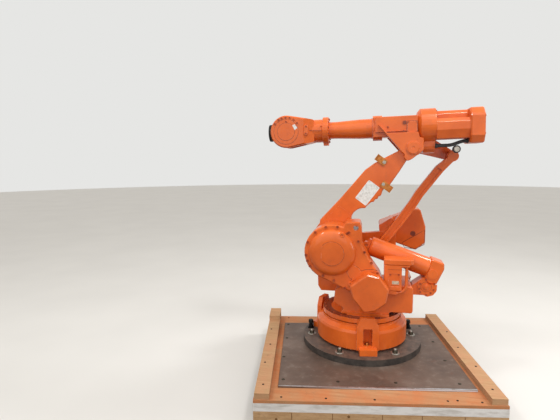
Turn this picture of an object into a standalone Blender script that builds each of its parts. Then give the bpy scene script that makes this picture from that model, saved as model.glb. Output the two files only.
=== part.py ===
# Six-axis industrial robot arm with a parallel rod, standing on its shipping skid.
# Metres, +Z up. Origin: on the floor, under the robot's vertical axis. +X is the way the arm
# points, +Y is the robot's left side.

import math

import bmesh
import bpy
from mathutils import Matrix, Vector

# Driving dimensions: the arm's own kinematics
SHOULDER_FORWARD = 0.200
SHOULDER_HEIGHT = 0.680
LOWER_ARM_LENGTH = 0.890
AXIS_4_RISE = 0.150
UPPER_ARM_LENGTH = 0.880
WRIST_REACH = 0.140
LOWER_ARM_LEAN_DEG = -36.58
UPPER_ARM_TILT_DEG = 1.5
ROD_PIN_BACK = 0.299
ROD_PIN_DROP = 0.064

# Clearances
SEAT = 0.0003
BEARING_GAP = 0.0005
RUNNING_GAP = 0.005
OVERRUN = 0.020
PIN_PLAY = 0.0004

# Finishing
EDGE = 0.004
FINE_EDGE = 0.002
ROUND_SIDES = 40
PIN_SIDES = 32
SMALL_SIDES = 24
SMOOTH_DEG = 35

# Shipping skid
SKID_LENGTH = 1.444
SKID_WIDTH = 1.336
SKID_CENTRE_X = -0.019
SKID_CENTRE_Y = 0.169
SKID_TURN_DEG = 8.8
BEARER_HEIGHT = 0.100
BEARER_WIDTH = 0.098
RAIL_HEIGHT = 0.050
RAIL_WIDTH = 0.045
DECK_THICKNESS = 0.018
BATTEN_WIDTH = 0.088
BATTEN_HEIGHT = 0.038
BATTEN_INSET = 0.006
BLOCK_LENGTH = 0.190
BLOCK_HEIGHT = 0.036
STEEL_SHEET_LENGTH = 1.190
STEEL_SHEET_WIDTH = 1.015
STEEL_SHEET_THICKNESS = 0.012
STEEL_SHEET_X = -0.010
STEEL_SHEET_Y = 0.020

# Round mounting plate and base casting
PLATE_THICKNESS = 0.045
BASE_RADIUS = 0.328
PLATE_MARGIN = 0.107
PLATE_RADIUS = BASE_RADIUS + PLATE_MARGIN
BASE_RIM_HEIGHT = 0.150
BASE_TOP_HEIGHT = 0.183
BASE_RING_STEP = 0.037
BASE_RING_RADIUS = BASE_RADIUS - BASE_RING_STEP
BASE_FOOT_STEP = 0.028
BASE_FOOT_RADIUS = BASE_RADIUS - BASE_FOOT_STEP
BASE_UNDERCUT = 0.019
FOOT_COUNT = 3
FOOT_WIDTH = 0.150
FOOT_TOP_WIDTH = 0.096
FOOT_HEIGHT = 0.247
FOOT_PAD_MARGIN = 0.072
FOOT_PAD_REACH = BASE_RADIUS + FOOT_PAD_MARGIN
FOOT_PAD_WIDTH = 0.118
FOOT_PAD_HEIGHT = 0.042
FOOT_WINDOW_WIDTH = 0.062
FOOT_WINDOW_LOW = 0.050
FOOT_WINDOW_HIGH = 0.172
FOOT_WINDOW_DEPTH = 0.070

# Turntable casting
SLEW_RING_RADIUS = 0.250
SLEW_RING_GAP_HEIGHT = 0.008
TURNTABLE_FLANGE_RADIUS = 0.286
TURNTABLE_FLANGE_HEIGHT = 0.030
TURNTABLE_BODY_BACK = 0.352
TURNTABLE_BODY_FRONT = 0.194
UNDERSIDE_CLEARANCE = 0.008
TURNTABLE_UNDERSIDE = FOOT_HEIGHT + UNDERSIDE_CLEARANCE
BODY_TOP_DROP = 0.236
TURNTABLE_BODY_TOP = SHOULDER_HEIGHT - BODY_TOP_DROP
TURNTABLE_BODY_LEFT = 0.200
TURNTABLE_BODY_RIGHT = 0.100
TURNTABLE_SILL_RIGHT = 0.155
CHEEK_THICKNESS = 0.075
CHEEK_BACK = 0.130
CHEEK_FRONT = 0.330
CHEEK_SILL = 0.256

# Gear housings on either side of the shoulder
LOWER_ARM_HALF = 0.088
GEAR_RADIUS = 0.195
GEAR_FACE = 0.270
HOUSING_ROOM = SHOULDER_HEIGHT - FOOT_HEIGHT
GEAR_TAIL_SHARE = 0.693
GEAR_TAIL_LENGTH = HOUSING_ROOM * GEAR_TAIL_SHARE
GEAR_TAIL_WIDTH = 0.300
GEAR_LUG_BACK = 0.160
GEAR_LUG_RISE = 0.177
GEAR_LUG_HOLE_RADIUS = 0.018
GEAR_BOSS_RADIUS = 0.104
HUB_RING_RADIUS = 0.162
HUB_RING_HEIGHT = 0.036
HUB_DISC_RADIUS = 0.082
HUB_DISC_HEIGHT = 0.004
HUB_DISC_FLAT = 0.072
MOTOR_2_BACK = 0.262
MOTOR_2_DROP_SHARE = 0.577
MOTOR_2_DROP = HOUSING_ROOM * MOTOR_2_DROP_SHARE
MOTOR_2_HALF_SHARE = 0.268
MOTOR_2_HALF = HOUSING_ROOM * MOTOR_2_HALF_SHARE
MOTOR_2_DEPTH = 0.090
RIGHT_GEAR_THICKNESS = 0.110
MOTOR_3_RADIUS = 0.088
MOTOR_3_LENGTH = 0.150
MOTOR_3_CAP = 0.040

# Axis-1 motor
MOTOR_1_LEFT = 0.250
MOTOR_1_RIGHT = 0.125
MOTOR_1_FRONT = -0.153
MOTOR_1_BACK = -0.270
MOTOR_1_SHOULDER_BACK = -0.322
MOTOR_1_SKIRT = 0.019
MOTOR_1_FOOT = TURNTABLE_BODY_TOP - MOTOR_1_SKIRT
MOTOR_1_HEIGHT = 0.181
MOTOR_1_TOP = MOTOR_1_FOOT + MOTOR_1_HEIGHT
MOTOR_1_LID_HEIGHT = 0.036
MOTOR_1_LID_OVERHANG = 0.028
MOTOR_1_PANEL_INSET = 0.030
MOTOR_1_PANEL_DEPTH = 0.003
CONDUIT_RADIUS = 0.010
CONDUIT_BEND = 0.062
CONDUIT_DROP = 0.018
CONDUIT_FOOT_BACK = -0.238
CONDUIT_FOOT_FRONT = -0.178
CONDUIT_FOOT_HEIGHT = 0.030

# Balancing cylinder
CYLINDER_Y = 0.045
CYLINDER_RADIUS = 0.070
CYLINDER_FRONT_X = -0.055
CYLINDER_FRONT_RISE = 0.014
CYLINDER_FRONT_Z = SHOULDER_HEIGHT + CYLINDER_FRONT_RISE
CYLINDER_REAR_X = -0.458
CYLINDER_REAR_DROP = 0.127
CYLINDER_REAR_Z = SHOULDER_HEIGHT - CYLINDER_REAR_DROP
CYLINDER_COLLAR_RADIUS = 0.064
CYLINDER_COLLAR_LENGTH = 0.012
REAR_HOUSING_LENGTH = 0.100
REAR_HOUSING_HEIGHT = 0.152
REAR_HOUSING_HALF = 0.066
KNUCKLE_X = -0.445
KNUCKLE_DROP = 0.252
KNUCKLE_Z = SHOULDER_HEIGHT - KNUCKLE_DROP
KNUCKLE_RADIUS = 0.062
KNUCKLE_HALF = 0.036
KNUCKLE_BOSS_RADIUS = 0.056
KNUCKLE_CAP_RADIUS = 0.019
PIVOT_BOSS_RADIUS = 0.034
PIVOT_BOSS_BACK = 0.037
PIVOT_BOSS_DROP = 0.024
EYE_LENGTH = 0.052
EYE_HALF = 0.022

# Lower arm
LOWER_ARM_DEPTH = 0.205
LOWER_ARM_EYE_RADIUS = 0.062
LOWER_ARM_FOOT_RADIUS = 0.170
LOWER_ARM_SCALLOP_RADIUS = 0.090
HOSE_BRACKET_WIDTH = 0.046
HOSE_BRACKET_PROUD = 0.030
HOSE_BRACKET_THICKNESS = 0.006
UPPER_BRACKET_DROP = 0.190
UPPER_BRACKET_HEIGHT = LOWER_ARM_LENGTH - UPPER_BRACKET_DROP
LOWER_BRACKET_DROP = 0.315
LOWER_BRACKET_HEIGHT = LOWER_ARM_LENGTH - LOWER_BRACKET_DROP
UPPER_BRACKET_SHARE = 0.64
LOWER_BRACKET_SHARE = -0.165
BRACKET_LENGTH = 0.082

# Elbow and arm house
ELBOW_SHAFT_RADIUS = 0.047
ELBOW_SHAFT_PROUD = 0.006
HOUSE_HALF = 0.128
HOUSE_FRONT = 0.264
HOUSE_TOP = 0.222
HOUSE_FLOOR = 0.082
PLATE_INNER = 0.0885
GEAR_DRUM_RADIUS = 0.120
GEAR_DRUM_FRONT = -0.036
GEAR_DRUM_BACK = -0.155
SIDE_MOTOR_Y = 0.080
SIDE_MOTOR_Z = 0.122
SIDE_MOTOR_HALF_WIDTH = 0.040
SIDE_MOTOR_HALF_HEIGHT = 0.068
TOP_MOTOR_Z = 0.187
TOP_MOTOR_HALF_WIDTH = 0.0385
TOP_MOTOR_HALF_HEIGHT = 0.060
REAR_CAP_FRONT = -0.365
REAR_CAP_BACK = -0.455
REAR_CAP_RADIUS = 0.132
EAR_THICKNESS = 0.040
EAR_EYE_RADIUS = 0.036

# Forearm and wrist
COLLAR_RADIUS = 0.088
COLLAR_LENGTH = 0.028
HOUSE_COLLAR_LENGTH = 0.064
HOUSE_JOINT = 0.002
FOREARM_START = HOUSE_FRONT + HOUSE_JOINT
WRIST_HOUSING_LENGTH = 0.302
FOREARM_END = UPPER_ARM_LENGTH - WRIST_HOUSING_LENGTH
FOREARM_RADIUS = 0.069
FOREARM_END_RADIUS = 0.060
WRIST_FLANGE_RADIUS = 0.098
WRIST_FLANGE_LENGTH = 0.044
WRIST_BODY_RADIUS = 0.083
FORK_NECK = 0.200
FORK_SHOULDER = 0.074
FLANGE_LUG_DROP = 0.108
FLANGE_LUG_HALF = 0.028
WRIST_DISC_RADIUS = 0.116
WRIST_DISC_HALF = 0.104
FORK_SLOT_HALF = 0.068
FORK_SLOT_REACH = 0.160
TILT_HALF = 0.058
TILT_RADIUS = 0.092
TILT_NOSE_RADIUS = 0.060
FLANGE_RADIUS = 0.0625
FLANGE_THICKNESS = 0.017
TILT_PIN_RADIUS = 0.040

# Crank, counterweight and tie rod
CRANK_HUB_RADIUS = 0.104
CRANK_NECK_RADIUS = 0.072
CRANK_OUTER = 0.2145
CRANK_HALF_WIDTH = 0.050
CRANK_PAD_OUTER = 0.345
COUNTERWEIGHT_DEPTH = 0.130
COUNTERWEIGHT_BACK = 0.703
COUNTERWEIGHT_RISE = 0.232
CRANK_PIN_RADIUS = 0.026
CRANK_PIN_HEAD_RADIUS = 0.034
ROD_NEAR = 0.110
ROD_FAR = 0.160
ROD_EYE_RADIUS = 0.046
ROD_HALF_WIDTH = 0.032
ROD_JOG = 0.017
ROD_GROOVE_DEPTH = 0.014
ROD_GROOVE_SHARE = 0.55

# Right gear case and its cheek stand past the crank
GEAR_BOSS_SIDE = CRANK_OUTER + BEARING_GAP
CHEEK_INNER = CRANK_OUTER + RUNNING_GAP

# Hose behind the motors
HOSE_RADIUS = 0.012
CONNECTOR_RADIUS = 0.026
CONNECTOR_FACE_RADIUS = 0.021
CONNECTOR_LENGTH = 0.034

BASE_Z = (BEARER_HEIGHT + RAIL_HEIGHT + DECK_THICKNESS + STEEL_SHEET_THICKNESS + PLATE_THICKNESS
          + SEAT + SEAT + SEAT + SEAT + SEAT)


def material(name, color, roughness, metallic=0.0):
    made = bpy.data.materials.get(name)
    if made:
        return made
    made = bpy.data.materials.new(name)
    made.use_nodes = True
    shader = made.node_tree.nodes["Principled BSDF"]
    shader.inputs["Base Color"].default_value = (*color, 1.0)
    shader.inputs["Roughness"].default_value = roughness
    shader.inputs["Metallic"].default_value = metallic
    return made


def orange():
    return material("orange_enamel", (0.73, 0.145, 0.036), 0.35)


def timber():
    return material("timber", (0.60, 0.38, 0.17), 0.7)


def white_timber():
    return material("white_timber", (0.66, 0.62, 0.57), 0.6)


def steel():
    return material("steel", (0.16, 0.13, 0.11), 0.5, 0.8)


def dark_steel():
    return material("dark_steel", (0.07, 0.06, 0.055), 0.55, 0.6)


def brass_steel():
    return material("yellow_steel", (0.26, 0.12, 0.02), 0.4, 0.8)


def black_rubber():
    return material("black_rubber", (0.02, 0.02, 0.02), 0.6)


def empty(name, place, turn_deg=0.0, axis="Y", parent=None):
    made = bpy.data.objects.new(name, None)
    bpy.context.collection.objects.link(made)
    made.parent = parent
    made.matrix_local = Matrix.Translation(place) @ Matrix.Rotation(math.radians(turn_deg), 4, axis)
    return made


def add_object(name, mesh, finish=None, parent=None):
    made = bpy.data.objects.new(name, mesh)
    bpy.context.collection.objects.link(made)
    if finish:
        mesh.materials.append(finish)
    made.parent = parent
    return made


def circle(x, z, radius, sides=ROUND_SIDES, start=0.0, end=math.tau):
    """Points of a circle, or of an arc when start and end are given."""
    whole = abs(end - start) >= math.tau
    steps = sides if whole else sides + 1
    return [(x + radius * math.cos(start + (end - start) * i / sides),
             z + radius * math.sin(start + (end - start) * i / sides)) for i in range(steps)]


CORNER_SHARE = 0.45


def rounded(points, radius, steps=4):
    """Every corner of a closed outline turned into an arc, limited by its sides."""
    out = []
    for i, corner in enumerate(points):
        here = Vector(corner)
        before = Vector(points[i - 1]) - here
        after = Vector(points[(i + 1) % len(points)]) - here
        angle = before.angle(after)
        reach = radius / math.tan(angle / 2)
        reach = min(reach, before.length * CORNER_SHARE, after.length * CORNER_SHARE)
        if angle > math.radians(172):
            out.append((here.x, here.y))
            continue
        a = here + before.normalized() * reach
        b = here + after.normalized() * reach
        for k in range(steps + 1):
            t = k / steps
            point = a * (1 - t) ** 2 + here * 2 * t * (1 - t) + b * t ** 2
            out.append((point.x, point.y))
    return out


def scaled(shares, width, height):
    return [(x * width, z * height) for x, z in shares]


def prism(name, outline, near, far, finish=None, parent=None, axis="Y", edge=0.0):
    """A closed outline drawn in X and Z, running along Y from near to far.

    With axis X the outline lies in Y and Z, with axis Z in X and Y."""
    def place(u, v, w):
        if axis == "X":
            return (w, u, v)
        if axis == "Z":
            return (u, v, w)
        return (u, w, v)
    shape = bmesh.new()
    ring = [shape.verts.new(place(u, v, near)) for u, v in outline]
    face = shape.faces.new(ring)
    raised = bmesh.ops.extrude_face_region(shape, geom=[face])
    moved = [item for item in raised["geom"] if isinstance(item, bmesh.types.BMVert)]
    shift = Vector(place(0, 0, far)) - Vector(place(0, 0, near))
    bmesh.ops.translate(shape, verts=moved, vec=shift)
    bmesh.ops.recalc_face_normals(shape, faces=shape.faces)
    mesh = bpy.data.meshes.new(name)
    shape.to_mesh(mesh)
    shape.free()
    return soften(add_object(name, mesh, finish, parent), edge)


def block(name, low, high, finish=None, parent=None, edge=0.0):
    outline = [(low[0], low[2]), (high[0], low[2]), (high[0], high[2]), (low[0], high[2])]
    return prism(name, outline, low[1], high[1], finish, parent, edge=edge)


def turned(name, profile, finish=None, parent=None, axis="Z", sides=ROUND_SIDES, centre=(0, 0, 0)):
    """A closed solid of revolution: profile lists (radius, height) from bottom to top."""
    shape = bmesh.new()
    rings = []
    for radius, height in profile:
        rings.append([shape.verts.new((radius * math.cos(math.tau * i / sides),
                                       radius * math.sin(math.tau * i / sides), height))
                      for i in range(sides)])
    for low, high in zip(rings, rings[1:]):
        for i in range(sides):
            j = (i + 1) % sides
            shape.faces.new((low[i], low[j], high[j], high[i]))
    shape.faces.new(list(reversed(rings[0])))
    shape.faces.new(rings[-1])
    bmesh.ops.recalc_face_normals(shape, faces=shape.faces)
    turn = {"Z": Matrix.Identity(4), "Y": Matrix.Rotation(-math.pi / 2, 4, "X"),
            "X": Matrix.Rotation(math.pi / 2, 4, "Y")}[axis]
    shape.transform(Matrix.Translation(centre) @ turn)
    mesh = bpy.data.meshes.new(name)
    shape.to_mesh(mesh)
    shape.free()
    return add_object(name, mesh, finish, parent)


def disc(name, x, z, radius, near, far, finish=None, parent=None, sides=PIN_SIDES, edge=0.0):
    return prism(name, circle(x, z, radius, sides), near, far, finish, parent, edge=edge)


def boolean(target, tool, operation):
    """Joins or cuts with a hidden tool, kept as a modifier."""
    tool.hide_render = True
    tool.display_type = "WIRE"
    step = target.modifiers.new(operation.title(), "BOOLEAN")
    step.operation = operation
    step.solver = "EXACT"
    step.object = tool
    return target


def join(target, *tools):
    for tool in tools:
        boolean(target, tool, "UNION")
    return target


def cut(target, *tools):
    for tool in tools:
        boolean(target, tool, "DIFFERENCE")
    return target


def soften(target, width=EDGE, segments=1):
    """Small broken edges."""
    if not width:
        return target
    step = target.modifiers.new("Edges", "BEVEL")
    step.width = width
    step.segments = segments
    step.limit_method = "ANGLE"
    step.angle_limit = math.radians(SMOOTH_DEG)
    step.use_clamp_overlap = True
    return target


def shade(target):
    target.data.shade_smooth()
    target.data.set_sharp_from_angle(angle=math.radians(SMOOTH_DEG))
    return target


# Skid

def build_skid():
    skid = empty("skid", (SKID_CENTRE_X, SKID_CENTRE_Y, 0), SKID_TURN_DEG, "Z")
    half_x = SKID_LENGTH / 2
    half_y = SKID_WIDTH / 2
    turn = math.radians(SKID_TURN_DEG)
    under_robot = SKID_CENTRE_X * math.sin(turn) - SKID_CENTRE_Y * math.cos(turn)
    edge_row = half_y - BEARER_WIDTH / 2
    rows = {"rear": -edge_row, "middle": under_robot, "front": edge_row}
    for name, centre in rows.items():
        block("bearer_" + name, (-half_x, centre - BEARER_WIDTH / 2, 0),
              (half_x, centre + BEARER_WIDTH / 2, BEARER_HEIGHT), timber(), skid)
    low = BEARER_HEIGHT + SEAT
    high = low + RAIL_HEIGHT
    edge_row = half_y - RAIL_WIDTH / 2
    rows = {"rear": -edge_row, "middle": under_robot, "front": edge_row}
    for name, centre in rows.items():
        finish = white_timber() if name == "front" else timber()
        block("rail_" + name, (-half_x, centre - RAIL_WIDTH / 2, low),
              (half_x, centre + RAIL_WIDTH / 2, high), finish, skid)
    deck_low = high + SEAT
    deck_high = deck_low + DECK_THICKNESS
    block("skid_deck", (-half_x, -half_y, deck_low), (half_x, half_y, deck_high), timber(), skid)
    batten_low = deck_high + SEAT
    for side, name in ((-1, "batten_right"), (1, "batten_left")):
        edge = side * (half_x - BATTEN_INSET)
        inner = edge - side * BATTEN_WIDTH
        block(name, (min(edge, inner), -half_y + BATTEN_INSET, batten_low),
              (max(edge, inner), half_y - BATTEN_INSET, batten_low + BATTEN_HEIGHT), timber(), skid)
    block_low = batten_low + BATTEN_HEIGHT + SEAT
    edge = half_x - BATTEN_INSET
    block("deck_block", (edge - BATTEN_WIDTH, -half_y + BATTEN_INSET, block_low),
          (edge, -half_y + BATTEN_INSET + BLOCK_LENGTH, block_low + BLOCK_HEIGHT), timber(), skid)
    sheet = block("steel_deck_sheet",
                  (STEEL_SHEET_X - STEEL_SHEET_LENGTH / 2, STEEL_SHEET_Y - STEEL_SHEET_WIDTH / 2, batten_low),
                  (STEEL_SHEET_X + STEEL_SHEET_LENGTH / 2, STEEL_SHEET_Y + STEEL_SHEET_WIDTH / 2,
                   batten_low + STEEL_SHEET_THICKNESS), steel(), skid, FINE_EDGE)
    shade(sheet)


# Base

def build_base(base):
    top = -SEAT
    plate = turned("floor_plate", [(PLATE_RADIUS, top - PLATE_THICKNESS), (PLATE_RADIUS, top)],
                   dark_steel(), base, sides=ROUND_SIDES + SMALL_SIDES)
    shade(plate)
    step = (BASE_RADIUS - BASE_RING_RADIUS) / 2
    profile = [(BASE_FOOT_RADIUS, SEAT), (BASE_FOOT_RADIUS, BASE_UNDERCUT), (BASE_RADIUS, BASE_UNDERCUT),
               (BASE_RADIUS, BASE_RIM_HEIGHT - step), (BASE_RADIUS - step / 3, BASE_RIM_HEIGHT),
               (BASE_RING_RADIUS + step, BASE_RIM_HEIGHT + step / 3),
               (BASE_RING_RADIUS, BASE_RIM_HEIGHT + step), (BASE_RING_RADIUS, BASE_TOP_HEIGHT)]
    drum = turned("base_casting", profile, orange(), base, sides=ROUND_SIDES + SMALL_SIDES)
    for index in range(FOOT_COUNT):
        angle = math.radians(SKID_TURN_DEG + 90 + 360 * index / FOOT_COUNT)
        add_foot(drum, base, angle, index)
    shade(drum)


def add_foot(drum, base, angle, index):
    """One foot: a raised trapezoid with a window for its bolt, and a pad down to the plate."""
    turn = Matrix.Rotation(angle - math.pi / 2, 4, "Z")
    low = BASE_UNDERCUT + FINE_EDGE
    foot_outline = [(-FOOT_WIDTH / 2, low), (FOOT_WIDTH / 2, low),
                    (FOOT_WIDTH / 2, BASE_TOP_HEIGHT), (FOOT_TOP_WIDTH / 2, FOOT_HEIGHT),
                    (-FOOT_TOP_WIDTH / 2, FOOT_HEIGHT), (-FOOT_WIDTH / 2, BASE_TOP_HEIGHT)]
    inner = BASE_RING_RADIUS + RUNNING_GAP + RUNNING_GAP
    ridge = prism(f"foot_ridge_{index}", foot_outline, inner, BASE_RADIUS + FOOT_PAD_HEIGHT / 5,
                  None, base)
    low_outline = [(-FOOT_WIDTH / 2, low + FINE_EDGE), (FOOT_WIDTH / 2, low + FINE_EDGE),
                   (FOOT_WIDTH / 2, BASE_RIM_HEIGHT), (-FOOT_WIDTH / 2, BASE_RIM_HEIGHT)]
    root = prism(f"foot_root_{index}", low_outline, BASE_RING_RADIUS - FOOT_PAD_HEIGHT,
                 BASE_RADIUS, None, base)
    pad = block(f"foot_pad_{index}", (-FOOT_PAD_WIDTH / 2, BASE_RADIUS - FOOT_PAD_HEIGHT, 0),
                (FOOT_PAD_WIDTH / 2, FOOT_PAD_REACH - FOOT_PAD_HEIGHT / 2, FOOT_PAD_HEIGHT), None, base)
    window = block(f"foot_window_{index}",
                   (-FOOT_WINDOW_WIDTH / 2, BASE_RADIUS + OVERRUN - FOOT_WINDOW_DEPTH, FOOT_WINDOW_LOW),
                   (FOOT_WINDOW_WIDTH / 2, BASE_RADIUS + OVERRUN, FOOT_WINDOW_HIGH), None, base)
    for piece in (ridge, root, pad, window):
        piece.data.transform(turn)
    join(drum, ridge, root, pad)
    cut(drum, window)


# Turntable

TURNTABLE_SIDE_SHARES = [(-0.56, 0.0), (-1.0, 0.0), (-1.0, 0.917), (-0.97, 1.0), (0.30, 1.0),
                         (0.52, 0.73), (0.55, 0.25), (0.33, 0.035)]
WAIST_SHARES = (0.43, -0.52)
SILL_TOP_SHARE = 0.396
CHEEK_SHARES = [(0.0, 0.0), (1.0, 0.0), (1.12, 0.16), (1.15, 0.90), (0.92, 1.0), (0.18, 1.0), (0.10, 0.40)]


def build_turntable(turntable):
    low = BASE_TOP_HEIGHT + BEARING_GAP
    flange_low = BASE_TOP_HEIGHT + SLEW_RING_GAP_HEIGHT
    profile = [(SLEW_RING_RADIUS, low), (SLEW_RING_RADIUS, flange_low),
               (TURNTABLE_FLANGE_RADIUS, flange_low),
               (TURNTABLE_FLANGE_RADIUS, flange_low + TURNTABLE_FLANGE_HEIGHT)]
    frame = turned("turntable_frame", profile, orange(), turntable)
    base_level = flange_low + TURNTABLE_FLANGE_HEIGHT
    room = TURNTABLE_BODY_TOP - TURNTABLE_UNDERSIDE
    outline = [(u * TURNTABLE_BODY_BACK, base_level + FINE_EDGE / 2) for u in WAIST_SHARES]
    outline += [(u, TURNTABLE_UNDERSIDE + v)
                for u, v in scaled(TURNTABLE_SIDE_SHARES, TURNTABLE_BODY_BACK, room)]
    body = prism("turntable_body", rounded(outline, EDGE * 4, 2), -TURNTABLE_BODY_RIGHT,
                 TURNTABLE_BODY_LEFT, None, turntable, edge=EDGE)
    sill = block("turntable_sill", (-TURNTABLE_BODY_FRONT, -TURNTABLE_SILL_RIGHT, flange_low + EDGE),
                 (TURNTABLE_BODY_FRONT, OVERRUN, TURNTABLE_UNDERSIDE + room * SILL_TOP_SHARE),
                 None, turntable)
    width = CHEEK_FRONT - CHEEK_BACK
    near = -(GEAR_BOSS_SIDE + RIGHT_GEAR_THICKNESS + SEAT)
    rise = SHOULDER_HEIGHT - GEAR_RADIUS - CHEEK_SILL + OVERRUN
    cheek_points = [(CHEEK_BACK + u, CHEEK_SILL + v) for u, v in scaled(CHEEK_SHARES, width, rise)]
    cheek = prism("right_cheek", rounded(cheek_points, EDGE * 3, 2), near + EDGE, -CHEEK_INNER,
                  None, turntable)
    foot = block("right_cheek_foot", (CHEEK_BACK, near + EDGE, CHEEK_SILL),
                 (TURNTABLE_BODY_FRONT - EDGE, -TURNTABLE_BODY_RIGHT, CHEEK_SILL + CHEEK_THICKNESS),
                 None, turntable)
    left = block("left_shelf", (-TURNTABLE_BODY_FRONT, TURNTABLE_BODY_LEFT - OVERRUN, base_level - EDGE),
                 (TURNTABLE_BODY_FRONT / 2, TURNTABLE_BODY_LEFT + EDGE * 4, base_level + OVERRUN),
                 None, turntable)
    join(frame, body, sill, cheek, foot, left)
    shade(frame)


GEAR_LUG_SHARES = [(-0.46, 1.10), (-0.95, 1.12), (-1.01, 0.92), (-1.02, 0.66)]
GEAR_TAIL_SHARES = [(-0.68, 0.18), (-0.88, -0.20), (-1.08, -0.47), (-1.20, -0.80), (-0.90, -1.10),
                    (-0.30, -0.85)]


def gear_outline():
    """Cover seen from the side: a round gear case, a lug, and a tail down to the motor."""
    x, z = SHOULDER_FORWARD, SHOULDER_HEIGHT
    points = circle(x, z, GEAR_RADIUS, 20, math.radians(-62), math.radians(112))
    points += [(x + u, z + v) for u, v in scaled(GEAR_LUG_SHARES, GEAR_RADIUS, GEAR_RADIUS)]
    points += [(x + u, z + v) for u, v in scaled(GEAR_TAIL_SHARES, GEAR_TAIL_WIDTH, GEAR_TAIL_LENGTH)]
    return points


HUB_DOME_SHARES = [(1.0, 0.0), (0.985, 0.26), (0.93, 0.56), (0.84, 0.80), (0.72, 0.94), (0.58, 1.0)]


def build_left_gear(turntable):
    x, z = SHOULDER_FORWARD, SHOULDER_HEIGHT
    inner = LOWER_ARM_HALF + RUNNING_GAP
    case = prism("left_gear_case", gear_outline(), inner, GEAR_FACE, orange(), turntable, edge=EDGE * 2)
    boss = disc("left_gear_boss", x, z, GEAR_BOSS_RADIUS, LOWER_ARM_HALF + BEARING_GAP,
                inner + OVERRUN, None, turntable)
    hole = disc("left_lug_hole", x - GEAR_LUG_BACK, z + GEAR_LUG_RISE, GEAR_LUG_HOLE_RADIUS,
                inner - OVERRUN, GEAR_FACE + OVERRUN, None, turntable, SMALL_SIDES)
    relief = block("tail_relief", (-TURNTABLE_BODY_BACK, inner - OVERRUN, MOTOR_1_FOOT - OVERRUN),
                   (MOTOR_1_FRONT + EDGE, MOTOR_1_LEFT + SEAT, SHOULDER_HEIGHT), None, turntable)
    saddle = block("frame_relief", (-TURNTABLE_BODY_BACK, inner - OVERRUN, MOTOR_1_FOOT / 2),
                   (CHEEK_FRONT, TURNTABLE_BODY_LEFT + SEAT, TURNTABLE_BODY_TOP + SEAT), None, turntable)
    join(case, boss)
    cut(case, hole, relief, saddle)
    shade(case)
    hub_low = GEAR_FACE + SEAT
    profile = scaled(HUB_DOME_SHARES, HUB_RING_RADIUS, HUB_RING_HEIGHT)
    profile += [(HUB_DISC_RADIUS, HUB_RING_HEIGHT), (HUB_DISC_RADIUS, HUB_RING_HEIGHT + HUB_DISC_HEIGHT)]
    hub = turned("left_hub_cap", profile, orange(), turntable, "Y", centre=(x, hub_low, z))
    top = hub_low + HUB_RING_HEIGHT
    flat = block("hub_disc_flat", (x + HUB_DISC_FLAT, top + HUB_DISC_HEIGHT / 8, z - HUB_DISC_RADIUS),
                 (x + HUB_RING_RADIUS, top + OVERRUN, z + HUB_DISC_RADIUS), None, turntable)
    cut(hub, motor_2_cutter(turntable, hub_low), flat)
    shade(hub)


MOTOR_2_SHARES = [(-0.35, -1.0), (0.35, -1.0), (0.98, -0.72), (1.0, 0.30), (0.72, 1.0), (-0.55, 0.98),
                  (-1.0, 0.42), (-0.98, -0.45)]
MOTOR_2_TURN_DEG = -38


def motor_2_outline(grow=0.0):
    """Square cap with cut corners, turned to stand on a corner."""
    x = SHOULDER_FORWARD - MOTOR_2_BACK
    z = SHOULDER_HEIGHT - MOTOR_2_DROP
    half = MOTOR_2_HALF + grow
    turn = math.radians(MOTOR_2_TURN_DEG)
    points = []
    for u, v in MOTOR_2_SHARES:
        points.append((x + half * (u * math.cos(turn) - v * math.sin(turn)),
                       z + half * (u * math.sin(turn) + v * math.cos(turn))))
    return points


def motor_2_cutter(turntable, low):
    return prism("motor_2_relief", motor_2_outline(EDGE), low - OVERRUN, GEAR_FACE + MOTOR_2_DEPTH + OVERRUN,
                 None, turntable)


def build_motor_2(turntable):
    low = GEAR_FACE + SEAT
    body = prism("motor_2_housing", rounded(motor_2_outline(), EDGE * 4, 2), low, GEAR_FACE + MOTOR_2_DEPTH,
                 orange(), turntable, edge=EDGE * 2)
    shade(body)


MOTOR_3_SHARES = (1.25, 1.0, 1.06, 0.96)


def build_right_gear(turntable):
    x, z = SHOULDER_FORWARD, SHOULDER_HEIGHT
    near = GEAR_BOSS_SIDE
    far = near + RIGHT_GEAR_THICKNESS
    case = turned("right_gear_case",
                  [(GEAR_BOSS_RADIUS, -near), (GEAR_BOSS_RADIUS, -near - RUNNING_GAP),
                   (GEAR_RADIUS, -near - RUNNING_GAP), (GEAR_RADIUS, -far + EDGE * 3),
                   (GEAR_RADIUS - EDGE * 3, -far)], orange(), turntable, "Y", centre=(x, 0, z))
    floor = z - GEAR_RADIUS
    cut(case, block("right_gear_seat", (x - GEAR_RADIUS, -far - OVERRUN, floor - OVERRUN),
                    (x + GEAR_RADIUS, -CHEEK_INNER + OVERRUN, floor + OVERRUN + SEAT), None, turntable))
    shade(case)
    end = far + MOTOR_3_LENGTH
    flange, body, cap, rim = (MOTOR_3_RADIUS * share for share in MOTOR_3_SHARES)
    profile = [(flange, -far - SEAT), (flange, -far - EDGE * 4), (body, -far - EDGE * 4),
               (body, MOTOR_3_CAP - end), (cap, MOTOR_3_CAP - end), (cap, EDGE * 2 - end), (rim, -end)]
    motor = turned("motor_3", profile, orange(), turntable, "Y", centre=(x, 0, z))
    shade(motor)


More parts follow.
